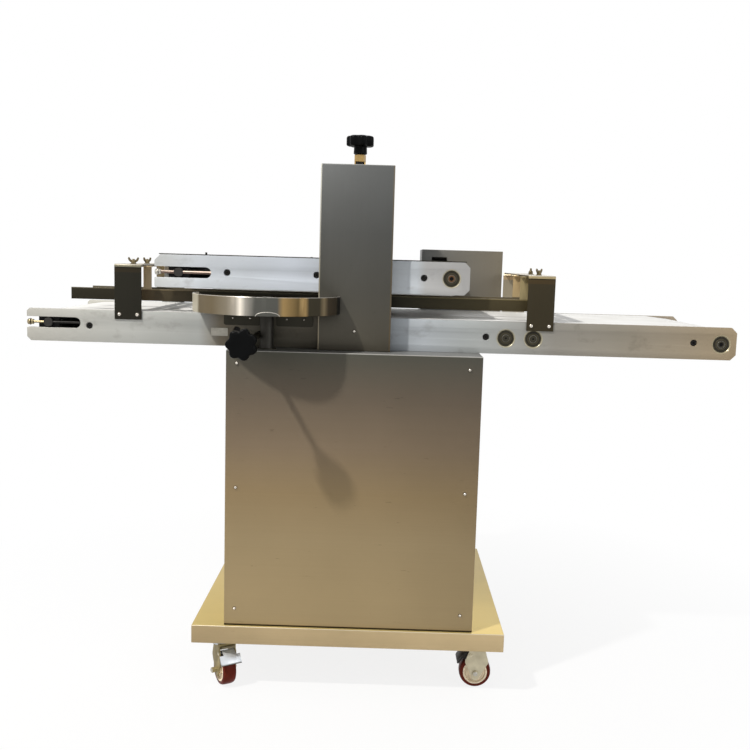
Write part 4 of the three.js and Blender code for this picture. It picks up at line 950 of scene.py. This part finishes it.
def tail_axle(level):
    """Through rod with slide blocks, its round ends slotted for the tension screws."""
    node = f"{level}_tail_axle"
    low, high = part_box(node)
    axis = (low + high) / 2
    length = (high.y - low.y) / MM
    lean = math.asin(AXLE_HALF_SLOT / AXLE_RADIUS)
    arc = arc_angles(lean, math.pi - lean, AXLE_ARC_STEPS)
    cheek = [(AXLE_RADIUS * math.cos(a), AXLE_RADIUS * math.sin(a)) for a in arc]
    block = [(sx * BLOCK_HALF_LENGTH, sz * BLOCK_HALF_HEIGHT) for sx, sz in CORNER_SIGNS]
    bm = bmesh.new()
    add_prism(bm, polygon(8.5, 40), 10, length - 10)
    for start, way in ((0, 1), (length, -1)):
        for outline, near, far, chamfer in (
            (polygon(AXLE_RADIUS, 48), 0, 0.5, 0.2),
            (cheek, 0.4, 8.1, 0),
            ([(-x, -z) for x, z in cheek], 0.4, 8.1, 0),
            (block, 8, 12, 0.4),
        ):
            add_prism(bm, outline, *sorted((start + way * near, start + way * far)), chamfer)
    place = axes(RIGHT, UP, FRONT, Vector((axis.x, high.y, axis.z)))
    piece(f"{node}_fine", bm, f"{level}_tail_carriage", axle_finish, place, [node])


def tension_screw(level, side):
    """Threaded rod fixed at the slot's closed end, with a hexagon head and nut past the tail axle."""
    low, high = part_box(f"{level}_{side}_plate")
    axis = middle(f"{level}_tail_axle")
    body = LEVEL_BODY[level]
    y = low.y + SCREW_DEPTH if side == "front" else high.y - SCREW_DEPTH
    start = Vector((low.x, y, axis.z))
    radius, bolt, rod, nut = 3.6, rose_rod, rose_rod, bright_steel
    if level == "lower":
        radius, bolt, rod, nut = 2.9, brass, dark_steel, brass
    near = (axis.x - low.x) / MM
    reach = (axis.x + SLOT_LENGTH - low.x) / MM
    name = f"{level}_{side}_tension"
    lathe(f"{name}_bolt", [
        (0, 0.6), (4.2, 0.6), (radius + 0.1, 1.6), (radius, near), (0, near),
    ], RIGHT, start, body, bolt, segments=24)
    lathe(f"{name}_rod", [
        (0, near), (radius, near), (radius, reach), (0, reach),
    ], RIGHT, start, body, rod, segments=24)
    bm = bmesh.new()
    add_prism(bm, polygon(6.6, 6, 0.3), 1, 6.5, 0.8)
    add_lathe(bm, [(0, 6.4), (7.6, 6.4), (7.6, 8), (0, 8)], 32)
    add_prism(bm, polygon(6.4, 6, 0.8), 9.5, 14.5, 0.8)
    piece(f"{name}_nut", bm, body, nut, facing(RIGHT, start))


for level in LEVEL_BODY:
    tail_axle(level)
    for side, direction in SIDES:
        tension_screw(level, side)


# Knife guard: smooth bent band with a lifted lip, floor pan and hanging tabs

guard_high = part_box("knife_guard")[1]
knife_middle = middle("knife_disc")
GUARD_OUTER, GUARD_SHEET, GUARD_HEIGHT = 166 * MM, 2.5 * MM, 40 * MM
GUARD_GAP, QUILL_HOLE = 0.3 * MM, 18 * MM
guard_bottom = guard_high.z - GUARD_HEIGHT
guard_back = guard_high.y - 1 * MM
guard_left = -math.pi - math.asin((guard_back - knife_middle.y) / GUARD_OUTER)
guard_right = math.asin((gantry_low.y - GUARD_GAP - knife_middle.y) / GUARD_OUTER)


def round_knife(radius, angle, z):
    return (knife_middle.x + radius * math.cos(angle), knife_middle.y + radius * math.sin(angle), z)


def swept(bm, sections):
    """Joins sections and closes both ends."""
    bridge(bm, sections)
    bm.faces.new(sections[0])
    bm.faces.new(sections[-1])
    return bm


def guard_band():
    outer, inner, bottom, top = GUARD_OUTER, GUARD_OUTER - GUARD_SHEET, guard_bottom, guard_high.z
    section = [
        (outer, bottom + 1 * MM), (outer, top - 0.8 * MM), (outer - 0.5 * MM, top),
        (inner + 0.5 * MM, top), (inner, top - 0.8 * MM), (inner, bottom), (outer - 1 * MM, bottom),
    ]
    bm = bmesh.new()
    return swept(bm, [
        [bm.verts.new(round_knife(r, angle, z)) for r, z in section]
        for angle in arc_angles(guard_left, guard_right, 120)
    ])


def guard_pan():
    """Floor of the guard with a round hole for the quill."""
    angles = arc_angles(guard_left, guard_right, 60)
    rim = [round_knife(GUARD_OUTER - GUARD_SHEET, angle, 0)[:2] for angle in angles]
    edge_x = gantry_low.x - GUARD_GAP
    rim += [(edge_x, gantry_low.y - GUARD_GAP), (edge_x, guard_back)]
    bm = bmesh.new()
    loops = []
    for z in (guard_bottom, guard_bottom + GUARD_SHEET):
        edge = [bm.verts.new((x, y, z)) for x, y in rim]
        hole = [bm.verts.new(round_knife(QUILL_HOLE, 2 * math.pi * i / 40, z)) for i in range(40)]
        edges = [bm.edges.new(pair) for ring in (edge, hole) for pair in zip(ring, ring[1:] + ring[:1])]
        bmesh.ops.triangle_fill(bm, use_beauty=True, edges=edges)
        loops.append((edge, hole))
    for rings in zip(*loops):
        bridge(bm, rings)
    return bm


def guard_tabs():
    """Two tabs bent down from the pan, with rounded corners."""
    tab = [
        (18, 2.5), (18, -30), (19.2, -32.8), (22, -34), (99, -34), (101.8, -32.8), (103, -30), (103, 2.5),
    ]
    place = axes(RIGHT, UP, FRONT, Vector((knife_middle.x, guard_high.y, guard_bottom)))
    bm = bmesh.new()
    for side in (-1, 1):
        add_prism(bm, [(side * x, z) for x, z in tab], 0, 3, 0.4, place)
    return bm


def guard_lip():
    """Raised half-round rim on the band's lower edge, over the quill."""
    steps, half, rise, width = 32, 26 * MM, 9.5 * MM, 1.7 * MM
    centre = -math.pi / 2 + 22 * MM / GUARD_OUTER
    bm = bmesh.new()
    rows = []
    for turn in arc_angles(math.pi, 0, steps):
        ring = []
        for inset, out in ((0, -0.2), (0, 0.5), (0.3, 0.9), (0.7, 0.9), (1, 0.5), (1, -0.2)):
            along = (half - inset * width) * math.cos(turn)
            lift = (rise - inset * width) * math.sin(turn)
            ring.append(bm.verts.new(round_knife(
                GUARD_OUTER + out * MM, centre + along / GUARD_OUTER, guard_bottom + 0.2 * MM + lift
            )))
        rows.append(ring)
    return swept(bm, rows)


for name, bm, material in (
    ("knife_guard_band", guard_band(), finishes["guard_sheet"]),
    ("knife_guard_pan", guard_pan(), tab_finish),
    ("knife_guard_tabs", guard_tabs(), tab_finish),
):
    piece(name, bm, "frame", material, replaces=["knife_guard"])
piece("knife_guard_lip", guard_lip(), "frame", bright_steel)


# Screws on the sheet parts, at millimetres from the middle of the base

PANEL_Y, TAB_Y, GANTRY_Y = -312, -228.3, -263.5
PANEL_SCREWS = [(-262, 765), (-262, 481.5), (-262, 197), (257, 764), (257, 482), (257, 196)]
ARCH_SCREWS = {"infeed": (-547, -506), "outfeed": (401, 442)}
GUARD_SCREWS = (-285, -245, -161, -121)
BACK_SCREWS, BACK_SCREW_LEVELS = (-240, -80, 80, 240), (185, 775)
TAB_SCREW_Z, ARCH_SCREW_Z = 860, 860.5
GANTRY_SCREW_X, GANTRY_SCREW_Z = -4, 839
BOX_INSET = 16 * MM
screw_row("panel_screw", [at(x, PANEL_Y, z) for x, z in PANEL_SCREWS], FRONT, 3.1, 3)
screw_row("guard_screw", [at(x, TAB_Y, TAB_SCREW_Z) for x in GUARD_SCREWS], FRONT, 2.3, 2.2)
for arch, places in ARCH_SCREWS.items():
    for side, direction in SIDES:
        spots = [at(x, -TAB_Y * direction.y, ARCH_SCREW_Z) for x in places]
        screw_row(f"{arch}_arch_{side}_screw", spots, direction, 3.8, 3)
for side, direction in SIDES:
    spot = at(GANTRY_SCREW_X, -GANTRY_Y * direction.y, GANTRY_SCREW_Z)
    cap_screw(f"gantry_screw_{side}", spot, direction, 3, 2.6)
for i, x in enumerate(BACK_SCREWS):
    spots = [at(x, -PANEL_Y, z) for z in BACK_SCREW_LEVELS]
    screw_row(f"cabinet_back_screw_{i + 1}", spots, BACK, 3.8, 3)
box_low, box_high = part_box("rear_drive_box")
for i, x in enumerate((box_low.x + BOX_INSET, box_high.x - BOX_INSET)):
    spots = [Vector((x, box_high.y, z)) for z in (box_low.z + BOX_INSET, box_high.z - BOX_INSET)]
    screw_row(f"drive_box_screw_{i + 1}", spots, BACK, 3.4, 2.8)


# Louvres, set screws, edge strips and the label plate

LOUVRE_HALF, LOUVRE_COLUMNS, LOUVRE_ROWS = 45, (-110, 110), range(560, 716, 26)
SET_SCREWS = [(-431, 1.8), (-349, 7), (-269, 2), (-141, 2), (-107, 3), (187, 2.2), (214, 2.2)]
SET_SCREW_Y = -219
SEAL_WIDTH = 2.4 * MM


def louvres(name, outline, half, material):
    """Two columns of an outline in Y and Z on the back of the cabinet."""
    bm = bmesh.new()
    for x in LOUVRE_COLUMNS:
        for z in LOUVRE_ROWS:
            add_prism(bm, outline, -half, half, 0, axes(BACK, UP, RIGHT, at(x, -PANEL_Y, z)))
    piece(name, bm, "frame", material)


louvres("cabinet_louvres", [
    (-0.2, 10), (1.2, 9), (4.6, 2), (5, 0.6), (4.6, 0), (-0.2, 0),
], LOUVRE_HALF, finishes["cabinet_sheet"])
# Painted shade: near-black strips in the gaps under the louvres
louvres("cabinet_louvre_gaps", [
    (-0.2, 0.2), (3.8, 0.2), (3.8, -0.3), (-0.2, -0.3),
], LOUVRE_HALF - 2, dark_hole)

# Set screws in the top edge of the upper front plate
for i, (x, height) in enumerate(SET_SCREWS):
    spot = at(x, SET_SCREW_Y, 0)
    lathe(f"upper_set_screw_{i + 1}", [
        (0, -0.3), (2.4, -0.3), (2.4, height - 0.4), (1.9, height), (1, height), (1, height - 1),
        (0, height - 1),
    ], UP, Vector((spot.x, spot.y, upper_high.z)), "upper_conveyor", dark_steel, segments=24)

# Dark strips along the inner top edges of the upper side plates: a painted shade line between plate and belt
for side, direction in SIDES:
    low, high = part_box(f"upper_{side}_plate")
    near = (high.y - SEAL_WIDTH if side == "front" else low.y) / MM
    far = near + SEAL_WIDTH / MM
    outline = [(near, 0), (far, 0), (far, 1.8), (far - 0.4, 2.3), (near + 0.4, 2.3), (near, 1.8)]
    bm = bmesh.new()
    place = axes(BACK, UP, RIGHT, Vector((0, 0, high.z)))
    add_prism(bm, outline, low.x / MM + 8, high.x / MM - 8, 0, place)
    piece(f"upper_{side}_edge_seal", bm, "upper_conveyor", seal_rubber)

# Bare label plate with four rivets on the lower front plate
corner_x, corner_z, rounding = 18, 7.7, 1.5
outline = []
for k, (sx, sz) in enumerate(CORNER_SIGNS):
    for angle in arc_angles(k * math.pi / 2, (k + 1) * math.pi / 2, 4):
        x = sx * corner_x + rounding * math.cos(angle)
        outline.append((x, sz * corner_z + rounding * math.sin(angle)))
bm = bmesh.new()
add_prism(bm, outline, -0.2, 0.8, 0.2)
for sx, sz in CORNER_SIGNS:
    rivet = Matrix.Translation((sx * 16.5 * MM, sz * 6.4 * MM, 0))
    add_prism(bm, polygon(1.1, 12), 0.6, 1.3, 0.3, rivet)
spot = at(-316.4, 0, 826.2)
place = axes(RIGHT, UP, FRONT, Vector((spot.x, plate_front, spot.z)))
piece("label_plate", bm, "frame", label_metal, place)


# Wing bolts that clamp the rail hangers in the arch slots

WING = [(3, 2.5), (7.5, 4.5), (11, 8), (12.8, 13), (11.6, 15.6), (9, 15.2), (6.6, 11), (3, 8.4)]


def wing_bolt(name, origin, turn, body):
    bm = bmesh.new()
    add_lathe(bm, [(0, -8), (2.9, -8), (2.9, 11), (2.4, 11.8), (0, 11.8)], 20)
    add_lathe(bm, [(0, 0.1), (7.5, 0.1), (7.5, 1.3), (0, 1.3)], 28)
    add_lathe(bm, [(0, 1.2), (5.6, 1.2), (5.4, 6), (4.2, 9), (0, 9)], 28)
    upright = Matrix.Rotation(math.pi / 2, 4, "X")
    for side in (-1, 1):
        add_prism(bm, [(side * x, z) for x, z in WING], -1.3, 1.3, 0.5, upright)
    piece(name, bm, body, wing_bronze, facing(UP, origin, turn))


for rail, turn in (("front_rail", 0.35), ("rear_rail", 1.0)):
    rail_y = middle(rail).y
    for arch, more_turn in (("infeed", 0), ("outfeed", 0.5)):
        spot = Vector((middle(f"{arch}_arch").x, rail_y, arch_top))
        wing_bolt(f"{rail}_{arch}_wing_bolt", spot, turn + more_turn, rail)


# Camera fitted to the photo

LENS_MM = 44.16
YAW, PITCH, ROLL = -0.0085, 0.1241, 0.0283
EYE = at(63.87, -2343.46, 1000.45)
ahead = math.cos(PITCH)
forward = Vector((math.sin(YAW) * ahead, math.cos(YAW) * ahead, -math.sin(PITCH)))
side = forward.cross(UP).normalized()
above = side.cross(forward)
right = side * math.cos(ROLL) + above * math.sin(ROLL)
top = above * math.cos(ROLL) - side * math.sin(ROLL)
data = bpy.data.cameras.new("Camera")
data.lens = LENS_MM
camera = new_object("Camera", data)
camera.matrix_world = axes(right, top, -forward, EYE)
scene.camera = camera


# Floor, lights and world

FLOOR_REACH, FLOOR_DROP = 14, 0.0005
AIM = Vector((0, 0, 0.75))
LIGHT_DISTANCE, WORLD_LIGHTING = 5, 0.28
# Lights: name, direction from the aim, size, watts, colour
LIGHTS = [
    ("key", (-0.476, -0.473, 0.741), 0.2, 250, (1, 0.97, 0.92)),
    ("fill", (0.75, -0.6, 0.35), 3.0, 45, (0.95, 0.97, 1)),
    ("back", (0.2, 0.8, 0.7), 3.0, 60, (1, 1, 1)),
]

# Pale floor that keeps the shadow near the object and fades to white around it
mesh = bpy.data.meshes.new("floor")
mesh.from_pydata([(sx * FLOOR_REACH, sy * FLOOR_REACH, 0) for sx, sy in CORNER_SIGNS], [], [range(4)])
floor = new_object("floor", mesh)
floor.location.z = -FLOOR_DROP
s = Shader("pale floor")
distance = s.add("ShaderNodeVectorMath", Vector=s.coordinates)
distance.operation = "LENGTH"
fade = s.spread(distance.outputs["Value"], 0.85, 1.0, 0.3, 1.5)
mix = s.add("ShaderNodeMixShader", Fac=s.combine("MULTIPLY", fade, s.seen_directly()))
s.connect(s.surface.outputs[0], mix.inputs[1])
s.connect(s.add("ShaderNodeEmission").outputs[0], mix.inputs[2])
s.feed(s.tree.nodes["Material Output"], Surface=mix.outputs[0])
mesh.materials.append(s.finish(Base_Color=rgba(0.84), Roughness=0.9))

for name, direction, size, watts, colour in LIGHTS:
    data = bpy.data.lights.new(name, "AREA")
    data.shape = "DISK"
    data.size = size
    data.energy = watts
    data.color = colour
    light = new_object(name, data)
    light.location = AIM + Vector(direction) * LIGHT_DISTANCE
    light.rotation_euler = Vector(direction).to_track_quat("Z", "Y").to_euler()

# World: white where it is seen directly, dimmer for the rays that light the object
world = bpy.data.worlds.new("World")
scene.world = world
world.use_nodes = True
tree = NodeTree(world.node_tree)
strength = tree.spread(tree.seen_directly(), WORLD_LIGHTING, 1.0, 0, 1)
tree.feed(tree.tree.nodes["Background"], Color=rgba(1), Strength=strength)
scene.view_settings.view_transform = "Standard"
